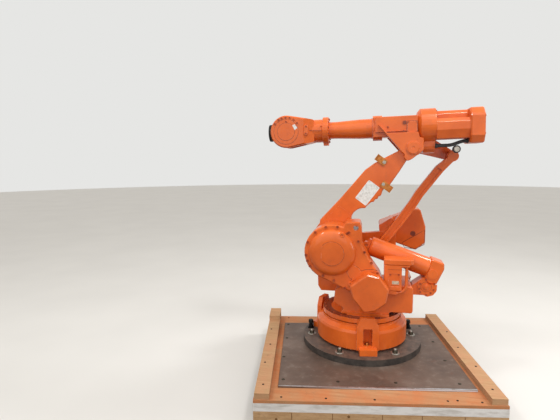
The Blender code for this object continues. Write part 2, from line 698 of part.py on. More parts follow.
def build_motor_1(turntable):
    step = (MOTOR_1_TOP - MOTOR_1_FOOT) / 3
    outline = [(MOTOR_1_FRONT, MOTOR_1_FOOT), (MOTOR_1_FRONT, MOTOR_1_TOP),
               (MOTOR_1_SHOULDER_BACK, MOTOR_1_TOP), (MOTOR_1_SHOULDER_BACK, MOTOR_1_TOP - step / 4),
               (MOTOR_1_BACK, MOTOR_1_TOP - step / 4), (MOTOR_1_BACK, MOTOR_1_FOOT)]
    floor = TURNTABLE_BODY_TOP + SEAT
    body = prism("motor_1_housing", outline, MOTOR_1_RIGHT, MOTOR_1_LEFT, orange(), turntable, edge=EDGE)
    relief = block("motor_1_relief",
                   (MOTOR_1_BACK - OVERRUN, MOTOR_1_RIGHT - OVERRUN, MOTOR_1_FOOT - OVERRUN),
                   (MOTOR_1_FRONT + OVERRUN, TURNTABLE_BODY_LEFT + SEAT, floor), None, turntable)
    inset = MOTOR_1_PANEL_INSET
    panel_face = MOTOR_1_LEFT - MOTOR_1_PANEL_DEPTH
    panel = block("motor_1_panel", (MOTOR_1_BACK + inset / 2, panel_face, MOTOR_1_FOOT + inset),
                  (MOTOR_1_FRONT - inset, MOTOR_1_LEFT + OVERRUN, MOTOR_1_TOP - inset * 2), None, turntable)
    foot = block("conduit_foot",
                 (CONDUIT_FOOT_BACK, TURNTABLE_BODY_LEFT + EDGE * 2, MOTOR_1_FOOT - CONDUIT_FOOT_HEIGHT),
                 (CONDUIT_FOOT_FRONT, MOTOR_1_LEFT - EDGE, MOTOR_1_FOOT + EDGE), None, turntable, EDGE)
    cut(body, relief, panel)
    join(body, foot)
    shade(body)
    lid_low = MOTOR_1_TOP + SEAT
    edge = MOTOR_1_LID_OVERHANG
    back = MOTOR_1_SHOULDER_BACK
    lid_outline = [(back - edge, MOTOR_1_RIGHT - EDGE), (MOTOR_1_FRONT, MOTOR_1_RIGHT - EDGE),
                   (MOTOR_1_FRONT + EDGE, MOTOR_1_LEFT), (MOTOR_1_FRONT - edge, MOTOR_1_LEFT + EDGE),
                   (back - EDGE, MOTOR_1_LEFT + EDGE), (back - edge, MOTOR_1_LEFT - edge)]
    lid = prism("motor_1_lid", lid_outline, lid_low, lid_low + MOTOR_1_LID_HEIGHT, orange(), turntable,
                "Z", EDGE)
    shade(lid)
    back += OVERRUN
    side = MOTOR_1_LEFT - CONDUIT_RADIUS - EDGE * 2
    low = MOTOR_1_FOOT - CONDUIT_DROP
    bend = CONDUIT_BEND
    route = [(back, side, MOTOR_1_TOP - step / 4 - SEAT)]
    for k in range(9):
        angle = math.pi / 2 * k / 8
        route.append((back + bend * (1 - math.cos(angle)), side, low + bend * (1 - math.sin(angle))))
    route.append((CONDUIT_FOOT_BACK - SEAT, side, low))
    pipe("conduit", route, CONDUIT_RADIUS, orange(), turntable)


def pipe(name, route, radius, finish, parent):
    """A round tube along a list of points, with flat ends."""
    curve = bpy.data.curves.new(name, "CURVE")
    curve.dimensions = "3D"
    curve.bevel_depth = radius
    curve.bevel_resolution = 2
    curve.use_fill_caps = True
    line = curve.splines.new("POLY")
    line.points.add(len(route) - 1)
    for point, place in zip(line.points, route):
        point.co = (*place, 1)
    made = bpy.data.objects.new(name, curve)
    bpy.context.collection.objects.link(made)
    curve.materials.append(finish)
    made.parent = parent
    return made


# Balancing cylinder

def build_cylinder(turntable):
    front = Vector((CYLINDER_FRONT_X, CYLINDER_Y, CYLINDER_FRONT_Z))
    rear = Vector((CYLINDER_REAR_X, CYLINDER_Y, CYLINDER_REAR_Z))
    run = (front - rear).length
    slope = math.degrees(math.atan2(front.z - rear.z, front.x - rear.x))
    line = empty("cylinder_line", rear, -slope, "Y", turntable)
    half = CYLINDER_RADIUS
    tube = turned("balance_cylinder",
                  [(half, SEAT), (half, run - CYLINDER_COLLAR_LENGTH), (CYLINDER_COLLAR_RADIUS, run)],
                  orange(), line, "X")
    shade(tube)
    tall = REAR_HOUSING_HEIGHT
    back = -REAR_HOUSING_LENGTH
    shoulder, corner = REAR_SHOULDER_SHARES
    outline = [(0, half + EDGE), (back * shoulder, half + EDGE), (back, half * corner)]
    outline += [(-back * u, half - tall * v) for u, v in REAR_UNDERSIDE_SHARES]
    housing = prism("cylinder_rear_housing", rounded(outline, EDGE * 3), -REAR_HOUSING_HALF,
                    REAR_HOUSING_HALF, orange(), line, edge=EDGE * 2)
    join(housing, disc("pivot_boss", -PIVOT_BOSS_BACK, -PIVOT_BOSS_DROP, PIVOT_BOSS_RADIUS, 0,
                       REAR_HOUSING_HALF + EDGE * 2, None, line, SMALL_SIDES))
    shade(housing)
    eye_low = run + SEAT
    root, root_end = half * EYE_ROOT_SHARE, eye_low + EYE_LENGTH / 3
    middle, ring = eye_low + EYE_LENGTH * EYE_CENTRE_SHARE, EYE_LENGTH * (1 - EYE_CENTRE_SHARE)
    eye_outline = [(eye_low, -root), (root_end, -root)]
    eye_outline += circle(middle, 0, ring, 10, -math.pi / 2, math.pi / 2)
    eye_outline += [(root_end, root), (eye_low, root)]
    eye = prism("cylinder_front_eye", eye_outline, -EYE_HALF, EYE_HALF, orange(), line)
    cut(eye, disc("front_eye_hole", middle, 0, EYE_LENGTH / 5, -EYE_HALF - OVERRUN, EYE_HALF + OVERRUN,
                  None, line, SMALL_SIDES))
    shade(eye)
    build_cylinder_bracket(turntable)


REAR_SHOULDER_SHARES = (0.85, 0.5)
EYE_ROOT_SHARE = 0.7
EYE_CENTRE_SHARE = 0.55
REAR_UNDERSIDE_SHARES = [(-0.9, 1.0), (-0.35, 1.12), (0.0, 0.92)]
KNUCKLE_PLATE_SHARES = [(0.92, 0.45), (0.10, 1.12), (-1.18, 0.62), (-1.14, -0.42), (-0.76, -0.94),
                        (-0.12, -1.14), (0.86, -0.66)]


def build_cylinder_bracket(turntable):
    """Arm from the back of the turntable to the knuckle that carries the cylinder's rear end."""
    x, z, ring = KNUCKLE_X, KNUCKLE_Z, KNUCKLE_RADIUS
    back = -TURNTABLE_BODY_BACK - SEAT
    outline = [(back, z - ring), (back, z + EDGE * 2)]
    outline += circle(x, z, ring, 16, math.radians(60), math.radians(270))
    near = CYLINDER_Y - KNUCKLE_HALF
    far = CYLINDER_Y + REAR_HOUSING_HALF
    arm = prism("cylinder_bracket", outline, near, far + EDGE, orange(), turntable)
    boss = disc("knuckle_boss", x, z, KNUCKLE_BOSS_RADIUS, near - EDGE, far + EDGE * 2, None, turntable,
                PIN_SIDES)
    plate_outline = [(x + u, z + v) for u, v in scaled(KNUCKLE_PLATE_SHARES, ring, ring)]
    plate = prism("knuckle_plate", rounded(plate_outline, EDGE * 3, 2), far, far + EDGE * 3, None, turntable)
    cap = disc("knuckle_cap", x, z, KNUCKLE_CAP_RADIUS, far, far + EDGE * 5, None, turntable, SMALL_SIDES)
    join(arm, boss, plate, cap)
    lean = Vector((CYLINDER_FRONT_X - CYLINDER_REAR_X, 0, CYLINDER_FRONT_Z - CYLINDER_REAR_Z)).normalized()
    level = CYLINDER_RADIUS - SEAT
    deep = -REAR_HOUSING_LENGTH - REAR_HOUSING_HALF / 2
    underside = scaled(REAR_UNDERSIDE_SHARES, REAR_HOUSING_LENGTH, REAR_HOUSING_HEIGHT)
    pocket_outline = [(deep, level + OVERRUN), (deep, level - REAR_HOUSING_HEIGHT)]
    pocket_outline += [(u, level - v) for u, v in underside]
    front = REAR_HOUSING_LENGTH / 2
    pocket_outline += [(SEAT, level - underside[-1][1]), (SEAT, -CYLINDER_RADIUS - SEAT),
                       (front, -CYLINDER_RADIUS - SEAT), (front, level + OVERRUN)]
    reach = REAR_HOUSING_HALF + OVERRUN
    pocket = prism("bracket_relief", pocket_outline, -reach, reach, None, bpy.data.objects["cylinder_line"])
    cut(arm, pocket)
    shade(arm)


# Lower arm

LOWER_ARM_FRONT_SHARES = [(1.00, 0.112), (0.89, 0.348), (0.81, 0.650), (0.69, 0.740), (0.53, 0.817),
                          (0.30, 0.925)]
LOWER_ARM_REAR_SHARES = [(-0.10, 0.902), (-0.14, 0.803), (-0.156, 0.738), (-0.17, 0.672), (-0.09, 0.609),
                         (-0.16, 0.562), (-0.10, 0.546), (-0.145, 0.530), (-0.07, 0.510), (-0.11, 0.493),
                         (-0.03, 0.476), (0.01, 0.422)]
SCALLOP_SHARE = 0.322
ARM_POCKET_SHARES = [(0.06, 0.17), (0.86, 0.17), (0.76, 0.30), (0.14, 0.30)]


def build_lower_arm(arm):
    depth, length = LOWER_ARM_DEPTH, LOWER_ARM_LENGTH
    outline = circle(0, 0, LOWER_ARM_FOOT_RADIUS, 26, math.radians(112), math.radians(370))
    outline += scaled(LOWER_ARM_FRONT_SHARES, depth, length)
    outline += circle(0, length, LOWER_ARM_EYE_RADIUS, 16, math.radians(-8), math.radians(188))
    outline += scaled(LOWER_ARM_REAR_SHARES, depth, length)
    scallop = LOWER_ARM_SCALLOP_RADIUS
    outline += circle(-scallop / 2, length * SCALLOP_SHARE, scallop, 12, math.radians(62), math.radians(-52))
    casting = prism("lower_arm_casting", outline, -LOWER_ARM_HALF, LOWER_ARM_HALF, orange(), arm,
                    edge=EDGE + FINE_EDGE)
    eye_hole = disc("elbow_bore", 0, length, ELBOW_SHAFT_RADIUS + PIN_PLAY, -LOWER_ARM_HALF - OVERRUN,
                    LOWER_ARM_HALF + OVERRUN, None, arm)
    cut(casting, eye_hole)
    for side in (-1, 1):
        pocket_outline = rounded(scaled(ARM_POCKET_SHARES, depth, length), EDGE * 3)
        face = side * LOWER_ARM_HALF
        pocket = prism(f"arm_step_{side}", pocket_outline, face - side * FINE_EDGE, face + side * OVERRUN,
                       None, arm)
        cut(casting, pocket)
    shade(casting)
    build_hose_bracket(arm, "upper_hose_bracket", UPPER_BRACKET_SHARE * depth, UPPER_BRACKET_HEIGHT, 1)
    build_hose_bracket(arm, "lower_hose_bracket", LOWER_BRACKET_SHARE * depth, LOWER_BRACKET_HEIGHT, -1)


def build_hose_bracket(arm, name, edge_x, height, side):
    """Bent steel strap bolted to the arm's left face, with its free end standing past the edge."""
    low = LOWER_ARM_HALF + SEAT
    thick = HOSE_BRACKET_THICKNESS
    half = HOSE_BRACKET_WIDTH / 2
    inner = edge_x - side * (BRACKET_LENGTH - HOSE_BRACKET_PROUD)
    outer = edge_x + side * HOSE_BRACKET_PROUD
    strap = block(name, (min(inner, outer), low, height - half),
                  (max(inner, outer), low + thick, height + half), brass_steel(), arm)
    tip = outer - side * thick
    lip = block(name + "_lip", (min(tip, outer), low, height - half),
                (max(tip, outer), low + HOSE_BRACKET_PROUD, height + half), None, arm)
    join(strap, lip)
    shade(strap)


def build_elbow_shaft(elbow):
    end = HOUSE_HALF + ELBOW_SHAFT_PROUD
    profile = [(ELBOW_SHAFT_RADIUS - FINE_EDGE, -end), (ELBOW_SHAFT_RADIUS, -end + FINE_EDGE),
               (ELBOW_SHAFT_RADIUS, end - FINE_EDGE), (ELBOW_SHAFT_RADIUS - FINE_EDGE, end)]
    shade(turned("elbow_shaft", profile, orange(), elbow, "Y"))


# Upper arm

PLATE_SHARES = [(0.88, 0.745), (0.835, 0.75), (0.645, 0.48), (-0.125, 0.48), (-0.135, 0.46), (-0.16, 0.30),
                (-0.262, 0.30), (-0.262, -0.082), (0.03, -0.34), (0.15, -0.41), (0.225, -0.29),
                (0.205, -0.215)]
RIB_SHARE = 0.8
CORE_SHARE = 0.66


def build_arm_house(upper):
    top = HOUSE_TOP
    body = block("arm_house", (GEAR_DRUM_FRONT + SEAT, -HOUSE_HALF * CORE_SHARE, HOUSE_FLOOR),
                 (HOUSE_FRONT, HOUSE_HALF * CORE_SHARE, top), orange(), upper, EDGE)
    collar = turned("house_collar",
                    [(COLLAR_RADIUS, FOREARM_START - HOUSE_COLLAR_LENGTH),
                     (COLLAR_RADIUS, FOREARM_START - SEAT)],
                    None, upper, "X", centre=(0, 0, AXIS_4_RISE))
    join(body, collar)
    for side, name in ((1, "house_cheek_left"), (-1, "house_cheek_right")):
        outline = [(HOUSE_FRONT * x, top * z) for x, z in PLATE_SHARES]
        cheek = prism(name, rounded(outline, EDGE * 5, 2), side * PLATE_INNER, side * HOUSE_HALF, None, upper,
                      edge=EDGE)
        outer = side * HOUSE_HALF * RIB_SHARE
        rib = block(name + "_rib", (GEAR_DRUM_FRONT + EDGE, min(0, outer), AXIS_4_RISE - EDGE * 8),
                    (HOUSE_FRONT - EDGE * 4, max(0, outer), top - EDGE), None, upper)
        join(body, cheek, rib)
    cut(body, disc("house_bore", 0, 0, ELBOW_SHAFT_RADIUS + PIN_PLAY, -HOUSE_HALF - OVERRUN,
                   HOUSE_HALF + OVERRUN, None, upper))
    shade(body)


def build_gear_drum(upper):
    drum = turned("wrist_gear_drum",
                  [(GEAR_DRUM_RADIUS, GEAR_DRUM_BACK), (GEAR_DRUM_RADIUS, GEAR_DRUM_FRONT - EDGE * 5),
                   (GEAR_DRUM_RADIUS - EDGE * 6, GEAR_DRUM_FRONT)], orange(), upper, "X",
                  centre=(0, 0, AXIS_4_RISE))
    shade(drum)


WRIST_MOTOR_SHARES = [(1.0, 0.62), (0.55, 1.0), (-0.55, 1.0), (-1.0, 0.62), (-1.0, -0.14), (-0.48, -1.0),
                      (0.48, -1.0), (1.0, -0.14)]


def build_wrist_motors(upper):
    """Two wrist motors side by side and a third between and above them."""
    places = (("motor_4", SIDE_MOTOR_Y, SIDE_MOTOR_Z, SIDE_MOTOR_HALF_WIDTH, SIDE_MOTOR_HALF_HEIGHT),
              ("motor_5", -SIDE_MOTOR_Y, SIDE_MOTOR_Z, SIDE_MOTOR_HALF_WIDTH, SIDE_MOTOR_HALF_HEIGHT),
              ("motor_6", 0, TOP_MOTOR_Z, TOP_MOTOR_HALF_WIDTH, TOP_MOTOR_HALF_HEIGHT))
    for name, y, z, half_width, half_height in places:
        outline = [(y + u * half_width, z + v * half_height) for u, v in WRIST_MOTOR_SHARES]
        body = prism(name, rounded(outline, EDGE * 2, 2), REAR_CAP_FRONT + SEAT, GEAR_DRUM_BACK - SEAT,
                     orange(), upper, "X")
        shade(body)


REAR_CAP_SHARES = [(1.0, 0.42), (0.62, 0.80), (-0.62, 0.80), (-1.0, 0.42), (-1.0, -0.62), (-0.78, -1.0),
                   (0.78, -1.0), (1.0, -0.62)]


def build_rear_cap(upper):
    r = REAR_CAP_RADIUS
    outline = [(u * r, AXIS_4_RISE + v * r) for u, v in REAR_CAP_SHARES]
    cap = prism("rear_cap", outline, REAR_CAP_BACK, REAR_CAP_FRONT, orange(), upper, "X", EDGE * 2)
    shade(cap)


WEB_FRONT_SHARE = 0.57
BELLY_SIDE_SHARE = 0.6
BELLY_SHARES = [(-0.5, -1.1), (0.3, -0.95), (0.85, -0.3), (1.0, 0.25)]


def build_rear_ear(upper):
    """Underside housing behind the elbow, with the ear that carries the tie rod's upper pin."""
    x, z = -ROD_PIN_BACK, -ROD_PIN_DROP
    near, far = -CRANK_OUTER + RUNNING_GAP, -ROD_FAR - RUNNING_GAP
    radius = EAR_EYE_RADIUS
    top = AXIS_4_RISE - GEAR_DRUM_RADIUS
    front = -GEAR_DRUM_RADIUS * WEB_FRONT_SHARE
    outline = [(front, top + EDGE * 8), (front, -radius)]
    outline += circle(x, z, radius, 12, math.radians(-80), math.radians(-250))
    outline += [(GEAR_DRUM_BACK + EDGE, top + EDGE * 12)]
    ear = prism("rear_ear", outline, far - EAR_THICKNESS, far, orange(), upper)
    side = PLATE_INNER * BELLY_SIDE_SHARE
    belly = [(far - EDGE, top + EDGE * 7), (far - EDGE, -radius)]
    belly += [*scaled(BELLY_SHARES, side, radius), (side, top + EDGE * 7)]
    web = prism("rear_ear_web", belly, GEAR_DRUM_BACK + EDGE, front - EDGE * 2, None, upper, "X")
    join(ear, web)
    relief = turned("ear_drum_relief", [(GEAR_DRUM_RADIUS + SEAT, GEAR_DRUM_BACK - OVERRUN),
                                        (GEAR_DRUM_RADIUS + SEAT, OVERRUN)], None, upper, "X",
                    centre=(0, 0, AXIS_4_RISE))
    cut(ear, relief)
    shade(ear)


def smooth_route(points, count):
    """Places read from one smooth curve through the route's own points."""
    nodes = [Vector(point) for point in points]
    nodes = [nodes[0] * 2 - nodes[1], *nodes, nodes[-1] * 2 - nodes[-2]]
    route = []
    spans = len(nodes) - 3
    for i in range(count + 1):
        place = min(i * spans / count, spans - 1e-9)
        k = int(place)
        t = place - k
        a, b, c, d = nodes[k:k + 4]
        route.append((2 * b + (c - a) * t + (2 * a - 5 * b + 4 * c - d) * t * t
                      + (3 * b - a - 3 * c + d) * t ** 3) / 2)
    return route


HOSE_ROUTE = [(-0.350, 0.050, 0.036), (-0.330, 0.050, 0.034), (-0.310, 0.050, 0.029),
              (-0.290, 0.050, 0.022), (-0.262, 0.050, 0.0135), (-0.235, 0.050, 0.010),
              (-0.200, 0.050, 0.010), (-0.165, 0.050, 0.010)]


def build_hose(upper):
    """Hose from the rear cap's face to the web of the rear ear, entering both squarely."""
    start = (REAR_CAP_FRONT + SEAT, *HOSE_ROUTE[0][1:])
    end = (GEAR_DRUM_BACK + EDGE - SEAT, *HOSE_ROUTE[-1][1:])
    pipe("motor_hose", [start, *smooth_route(HOSE_ROUTE, 18), end], HOSE_RADIUS, black_rubber(), upper)
    x, y, z = HOSE_ROUTE[3]
    drop = HOSE_RADIUS + CONNECTOR_RADIUS + FINE_EDGE + SEAT
    half = CONNECTOR_LENGTH / 2
    connector = turned("hose_connector",
                       [(CONNECTOR_FACE_RADIUS, -half), (CONNECTOR_RADIUS, EDGE - half),
                        (CONNECTOR_RADIUS, half - EDGE), (CONNECTOR_FACE_RADIUS, half)],
                       black_rubber(), upper, "Y", SMALL_SIDES, (x, y, z - drop))
    shade(connector)


# Forearm and wrist

def build_forearm(forearm):
    gap = SEAT + SEAT
    neck = COLLAR_RADIUS - EDGE * 4
    profile = [(neck, FOREARM_START + gap), (neck, FOREARM_START + EDGE * 2),
               (FOREARM_RADIUS, FOREARM_START + EDGE * 4),
               (FOREARM_RADIUS, FOREARM_START + COLLAR_LENGTH * 3),
               (FOREARM_END_RADIUS, FOREARM_END - COLLAR_LENGTH * 2),
               (FOREARM_END_RADIUS, FOREARM_END - SEAT)]
    shade(turned("forearm_tube", profile, orange(), forearm, "X"))
    low, high = FOREARM_END, FOREARM_END + WRIST_FLANGE_LENGTH
    flange = turned("wrist_flange",
                    [(WRIST_FLANGE_RADIUS - EDGE * 2, low), (WRIST_FLANGE_RADIUS, low + EDGE),
                     (WRIST_FLANGE_RADIUS, high - EDGE), (WRIST_FLANGE_RADIUS - EDGE * 2, high)],
                    orange(), forearm, "X", PIN_SIDES)
    lug = block("flange_lug", (low + EDGE, -FLANGE_LUG_HALF, -FLANGE_LUG_DROP),
                (high - EDGE, FLANGE_LUG_HALF, -WRIST_BODY_RADIUS), None, forearm, FINE_EDGE)
    join(flange, lug)
    shade(flange)
    build_fork(forearm)


NECK_SHARE = 0.93


def build_fork(forearm):
    """Housing that narrows from the flange to two side discs, with the slot the wrist tilts in."""
    start = FOREARM_END + WRIST_FLANGE_LENGTH + SEAT
    radius, reach = WRIST_BODY_RADIUS, UPPER_ARM_LENGTH
    neck = reach - FORK_NECK
    fork = turned("wrist_fork", [(radius, start), (radius, neck + FORK_SHOULDER)], orange(), forearm, "X")
    outline = [(neck, radius - EDGE), (neck, EDGE - radius)]
    outline += circle(reach, 0, WRIST_DISC_RADIUS, 26, math.radians(-102), math.radians(102))
    head = prism("fork_head", outline, -WRIST_DISC_HALF, WRIST_DISC_HALF, None, forearm, edge=EDGE * 2)
    for side in (-1, 1):
        inner, outer = side * radius * NECK_SHARE, side * WRIST_DISC_HALF
        wedge = [(neck - OVERRUN, inner), (neck, inner), (neck + FORK_SHOULDER, outer + side * SEAT),
                 (neck + FORK_SHOULDER, outer + side * OVERRUN), (neck - OVERRUN, outer + side * OVERRUN)]
        taper = prism(f"fork_taper_{side}", wedge, -WRIST_DISC_RADIUS - OVERRUN, WRIST_DISC_RADIUS + OVERRUN,
                      None, forearm, "Z")
        cut(head, taper)
    join(fork, head)
    slot_back = reach - FORK_SLOT_REACH
    slot = prism("fork_slot", circle(reach, 0, FORK_SLOT_REACH, 40), -FORK_SLOT_HALF, FORK_SLOT_HALF,
                 None, forearm)
    cut(fork, slot)
    bore = disc("tilt_bore", reach, 0, TILT_PIN_RADIUS + PIN_PLAY, -WRIST_DISC_HALF + EDGE * 3,
                WRIST_DISC_HALF - EDGE * 3, None, forearm, PIN_SIDES)
    cut(fork, bore)
    shade(fork)


TILT_FRONT_SHARE = 0.8


def build_tilt(wrist):
    """Tilt housing on its cross pin, with a round nose for the tool flange."""
    nose = WRIST_REACH - FLANGE_THICKNESS - BEARING_GAP - BEARING_GAP
    outline = circle(0, 0, TILT_RADIUS, 24, math.radians(50), math.radians(310))
    front = nose * TILT_FRONT_SHARE
    outline += [(front, -TILT_NOSE_RADIUS), (front, TILT_NOSE_RADIUS)]
    body = prism("tilt_housing", outline, -TILT_HALF, TILT_HALF, orange(), wrist, edge=EDGE)
    snout = turned("tilt_snout", [(TILT_HALF - EDGE, 0), (TILT_HALF - EDGE, nose)], None, wrist, "X",
                   PIN_SIDES)
    pin_end = WRIST_DISC_HALF - EDGE * 3 - BEARING_GAP
    pin = disc("tilt_pin", 0, 0, TILT_PIN_RADIUS, -pin_end, pin_end, None, wrist, PIN_SIDES)
    join(body, snout, pin)
    shade(body)


FLANGE_HUB_SHARE = 0.7


def build_tool_flange(tool):
    low = WRIST_REACH - FLANGE_THICKNESS
    hub = FLANGE_RADIUS * FLANGE_HUB_SHARE
    profile = [(hub, low - BEARING_GAP), (hub, low), (FLANGE_RADIUS, low), (FLANGE_RADIUS, WRIST_REACH)]
    flange = turned("tool_flange", profile, dark_steel(), tool, "X")
    recess = turned("flange_recess", [(FLANGE_RADIUS / 2, WRIST_REACH - EDGE * 2),
                                      (FLANGE_RADIUS / 2, WRIST_REACH + OVERRUN)],
                    None, tool, "X", PIN_SIDES)
    cut(flange, recess)
    shade(flange)


# Crank, counterweight and tie rod, drawn about the shoulder

COUNTERWEIGHT_SHARES = [(-0.46, 0.54), (-0.475, 0.28), (-0.475, 0.02), (-0.87, -0.45), (-0.975, -0.20),
                        (-0.98, 0.36), (-0.922, 0.98), (-0.856, 0.98)]
CRANK_PAD_SHARES = [(-0.46, 0.54), (-0.475, 0.02), (-0.60, -0.16), (-0.64, -0.19), (-0.64, 0.60),
                    (-0.60, 0.80)]
CRANK_ARM_SHARES = [(0.55, 1.25), (1.5, 1.7), (1.5, -0.9)]


def build_crank(crank):
    hub_far = -CRANK_OUTER
    web = -ROD_FAR - RUNNING_GAP
    hub = disc("crank_casting", 0, 0, CRANK_HUB_RADIUS, hub_far, web, orange(), crank, ROUND_SIDES)
    neck = disc("crank_neck", 0, 0, CRANK_NECK_RADIUS, web - EDGE, -LOWER_ARM_HALF - BEARING_GAP, None, crank)
    back, drop = -ROD_PIN_BACK, -ROD_PIN_DROP
    half = CRANK_HALF_WIDTH
    shoulder = CRANK_HUB_RADIUS - EDGE * 2
    arm_outline = [(0, shoulder), *scaled(CRANK_ARM_SHARES, back, half), (back - half / 2, drop - half),
                   (back + half / 2, drop - half), (0, -shoulder)]
    arm = prism("crank_arm", rounded(arm_outline, EDGE * 4, 3), hub_far, web, None, crank)
    pad_outline = scaled(CRANK_PAD_SHARES, COUNTERWEIGHT_BACK, COUNTERWEIGHT_RISE)
    pad = prism("crank_pad", rounded(pad_outline, EDGE * 3, 2), -CRANK_PAD_OUTER, web - EDGE, None, crank)
    join(hub, neck, arm, pad)
    bore = disc("crank_pin_bore", back, drop, CRANK_PIN_RADIUS + PIN_PLAY, hub_far - OVERRUN, web + OVERRUN,
                None, crank, PIN_SIDES)
    cut(hub, bore)
    shade(hub)
    outline = rounded(scaled(COUNTERWEIGHT_SHARES, COUNTERWEIGHT_BACK, COUNTERWEIGHT_RISE), EDGE * 4, 2)
    low = -CRANK_PAD_OUTER - SEAT
    weight = prism("counterweight", outline, low - COUNTERWEIGHT_DEPTH, low, orange(), crank, edge=EDGE * 2)
    shade(weight)


def build_crank_pin(pin):
    end = -CRANK_OUTER
    head = -ROD_NEAR + RUNNING_GAP
    profile = [(CRANK_PIN_RADIUS, end), (CRANK_PIN_RADIUS, -ROD_NEAR + SEAT + SEAT),
               (CRANK_PIN_HEAD_RADIUS, -ROD_NEAR + SEAT + SEAT), (CRANK_PIN_HEAD_RADIUS, head)]
    shade(turned("crank_pin", profile, dark_steel(), pin, "Y", PIN_SIDES))


ROD_LINE_SHARES = [(0, 0.30), (0.4, 0.50), (1, 0.60), (1, 0.86)]
TOP_EYE_SHARE = 0.85
GROOVE_FOOT_SHARE = 0.09


def build_tie_rod(rod):
    """Forged rod with an eye at each end, a jog in its lower third and a groove down both faces."""
    length, half, jog = LOWER_ARM_LENGTH, ROD_HALF_WIDTH, ROD_JOG
    eye = ROD_EYE_RADIUS
    centres = scaled(ROD_LINE_SHARES, jog, length)
    right = [(x + half, z) for x, z in centres]
    left = [(x - half, z) for x, z in reversed(centres)]
    open_deg = 40
    low = circle(0, 0, eye, 20, math.radians(90 + open_deg), math.radians(450 - open_deg))
    top_eye = eye * TOP_EYE_SHARE
    high = circle(0, length, top_eye, 20, math.radians(-90 + open_deg), math.radians(270 - open_deg))
    body = prism("tie_rod", low + right + high + left, -ROD_FAR, -ROD_NEAR, orange(), rod, edge=FINE_EDGE)
    groove = half * ROD_GROOVE_SHARE
    foot = length * GROOVE_FOOT_SHARE
    outline = [(-groove, foot), (groove, foot)]
    outline += [(x + groove, z) for x, z in centres]
    outline += [(x - groove, z) for x, z in reversed(centres)]
    cut(body, prism("rod_groove_near", outline, -ROD_NEAR - ROD_GROOVE_DEPTH, -ROD_NEAR + OVERRUN, None, rod),
        prism("rod_groove_far", outline, -ROD_FAR - OVERRUN, -ROD_FAR + ROD_GROOVE_DEPTH, None, rod))
    cut(body, disc("rod_eye_low", 0, 0, CRANK_PIN_RADIUS + PIN_PLAY, -ROD_FAR - OVERRUN, -ROD_NEAR + OVERRUN,
                   None, rod, PIN_SIDES))
    shade(body)


def build():
    for old in list(bpy.data.objects):
        bpy.data.objects.remove(old, do_unlink=True)
    build_skid()
    base = empty("base", (0, 0, BASE_Z))
    build_base(base)
    turntable = empty("axis_1", (0, 0, 0), parent=base)
    build_turntable(turntable)
    build_left_gear(turntable)
    build_motor_2(turntable)
    build_right_gear(turntable)
    build_motor_1(turntable)
    build_cylinder(turntable)
    shoulder = (SHOULDER_FORWARD, 0, SHOULDER_HEIGHT)
    arm = empty("axis_2", shoulder, LOWER_ARM_LEAN_DEG, "Y", turntable)
    build_lower_arm(arm)
    elbow = empty("elbow", (0, 0, LOWER_ARM_LENGTH), -LOWER_ARM_LEAN_DEG, "Y", arm)
    build_elbow_shaft(elbow)
    upper = empty("axis_3", (0, 0, 0), UPPER_ARM_TILT_DEG, "Y", elbow)
    build_arm_house(upper)
    build_gear_drum(upper)
    build_wrist_motors(upper)
    build_rear_cap(upper)
    build_rear_ear(upper)
    build_hose(upper)
    forearm = empty("axis_4", (0, 0, AXIS_4_RISE), parent=upper)
    build_forearm(forearm)
    wrist = empty("axis_5", (UPPER_ARM_LENGTH, 0, 0), parent=forearm)
    build_tilt(wrist)
    tool = empty("axis_6", (0, 0, 0), parent=wrist)
    build_tool_flange(tool)
    crank = empty("crank", shoulder, UPPER_ARM_TILT_DEG, "Y", turntable)
    build_crank(crank)
    pin = empty("crank_pin_axis", (-ROD_PIN_BACK, 0, -ROD_PIN_DROP), -UPPER_ARM_TILT_DEG, "Y", crank)
    build_crank_pin(pin)
    rod = empty("tie_rod_axis", (0, 0, 0), LOWER_ARM_LEAN_DEG, "Y", pin)
    build_tie_rod(rod)
    bpy.context.view_layer.update()


build()
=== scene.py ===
"""Orange six-axis robot arm with a parallel linkage, bolted to a steel plate on a timber skid."""

import math

import bpy
import bmesh
from mathutils import Matrix, Vector


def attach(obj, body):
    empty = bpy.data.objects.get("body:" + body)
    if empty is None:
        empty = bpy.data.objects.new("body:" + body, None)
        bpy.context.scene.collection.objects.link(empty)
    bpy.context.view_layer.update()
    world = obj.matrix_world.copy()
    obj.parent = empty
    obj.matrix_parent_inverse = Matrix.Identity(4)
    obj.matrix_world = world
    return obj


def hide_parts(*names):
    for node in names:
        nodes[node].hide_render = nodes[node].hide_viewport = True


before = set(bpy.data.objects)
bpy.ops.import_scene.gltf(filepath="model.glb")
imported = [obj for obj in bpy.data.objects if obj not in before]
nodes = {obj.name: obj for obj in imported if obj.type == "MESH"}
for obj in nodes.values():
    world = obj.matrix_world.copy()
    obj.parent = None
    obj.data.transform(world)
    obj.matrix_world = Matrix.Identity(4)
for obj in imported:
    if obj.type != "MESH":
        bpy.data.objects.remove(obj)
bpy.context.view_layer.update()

MM = 0.001


# Places shared with the solids, in metres

SHOULDER = Vector((0.2, 0.0, 0.9065))
ELBOW = Vector((-0.330391, 0.0, 1.621193))
WRIST = Vector((0.553234, 0.0, 1.748106))
ARM_LEAN = math.atan2(ELBOW.x - SHOULDER.x, ELBOW.z - SHOULDER.z)
UPPER_DROP = math.radians(1.5)
SKID_TURN = math.radians(8.8)

lower_arm = Matrix.Translation(SHOULDER) @ Matrix.Rotation(ARM_LEAN, 4, "Y")
upper_arm = Matrix.Translation(ELBOW) @ Matrix.Rotation(UPPER_DROP, 4, "Y")


# Camera

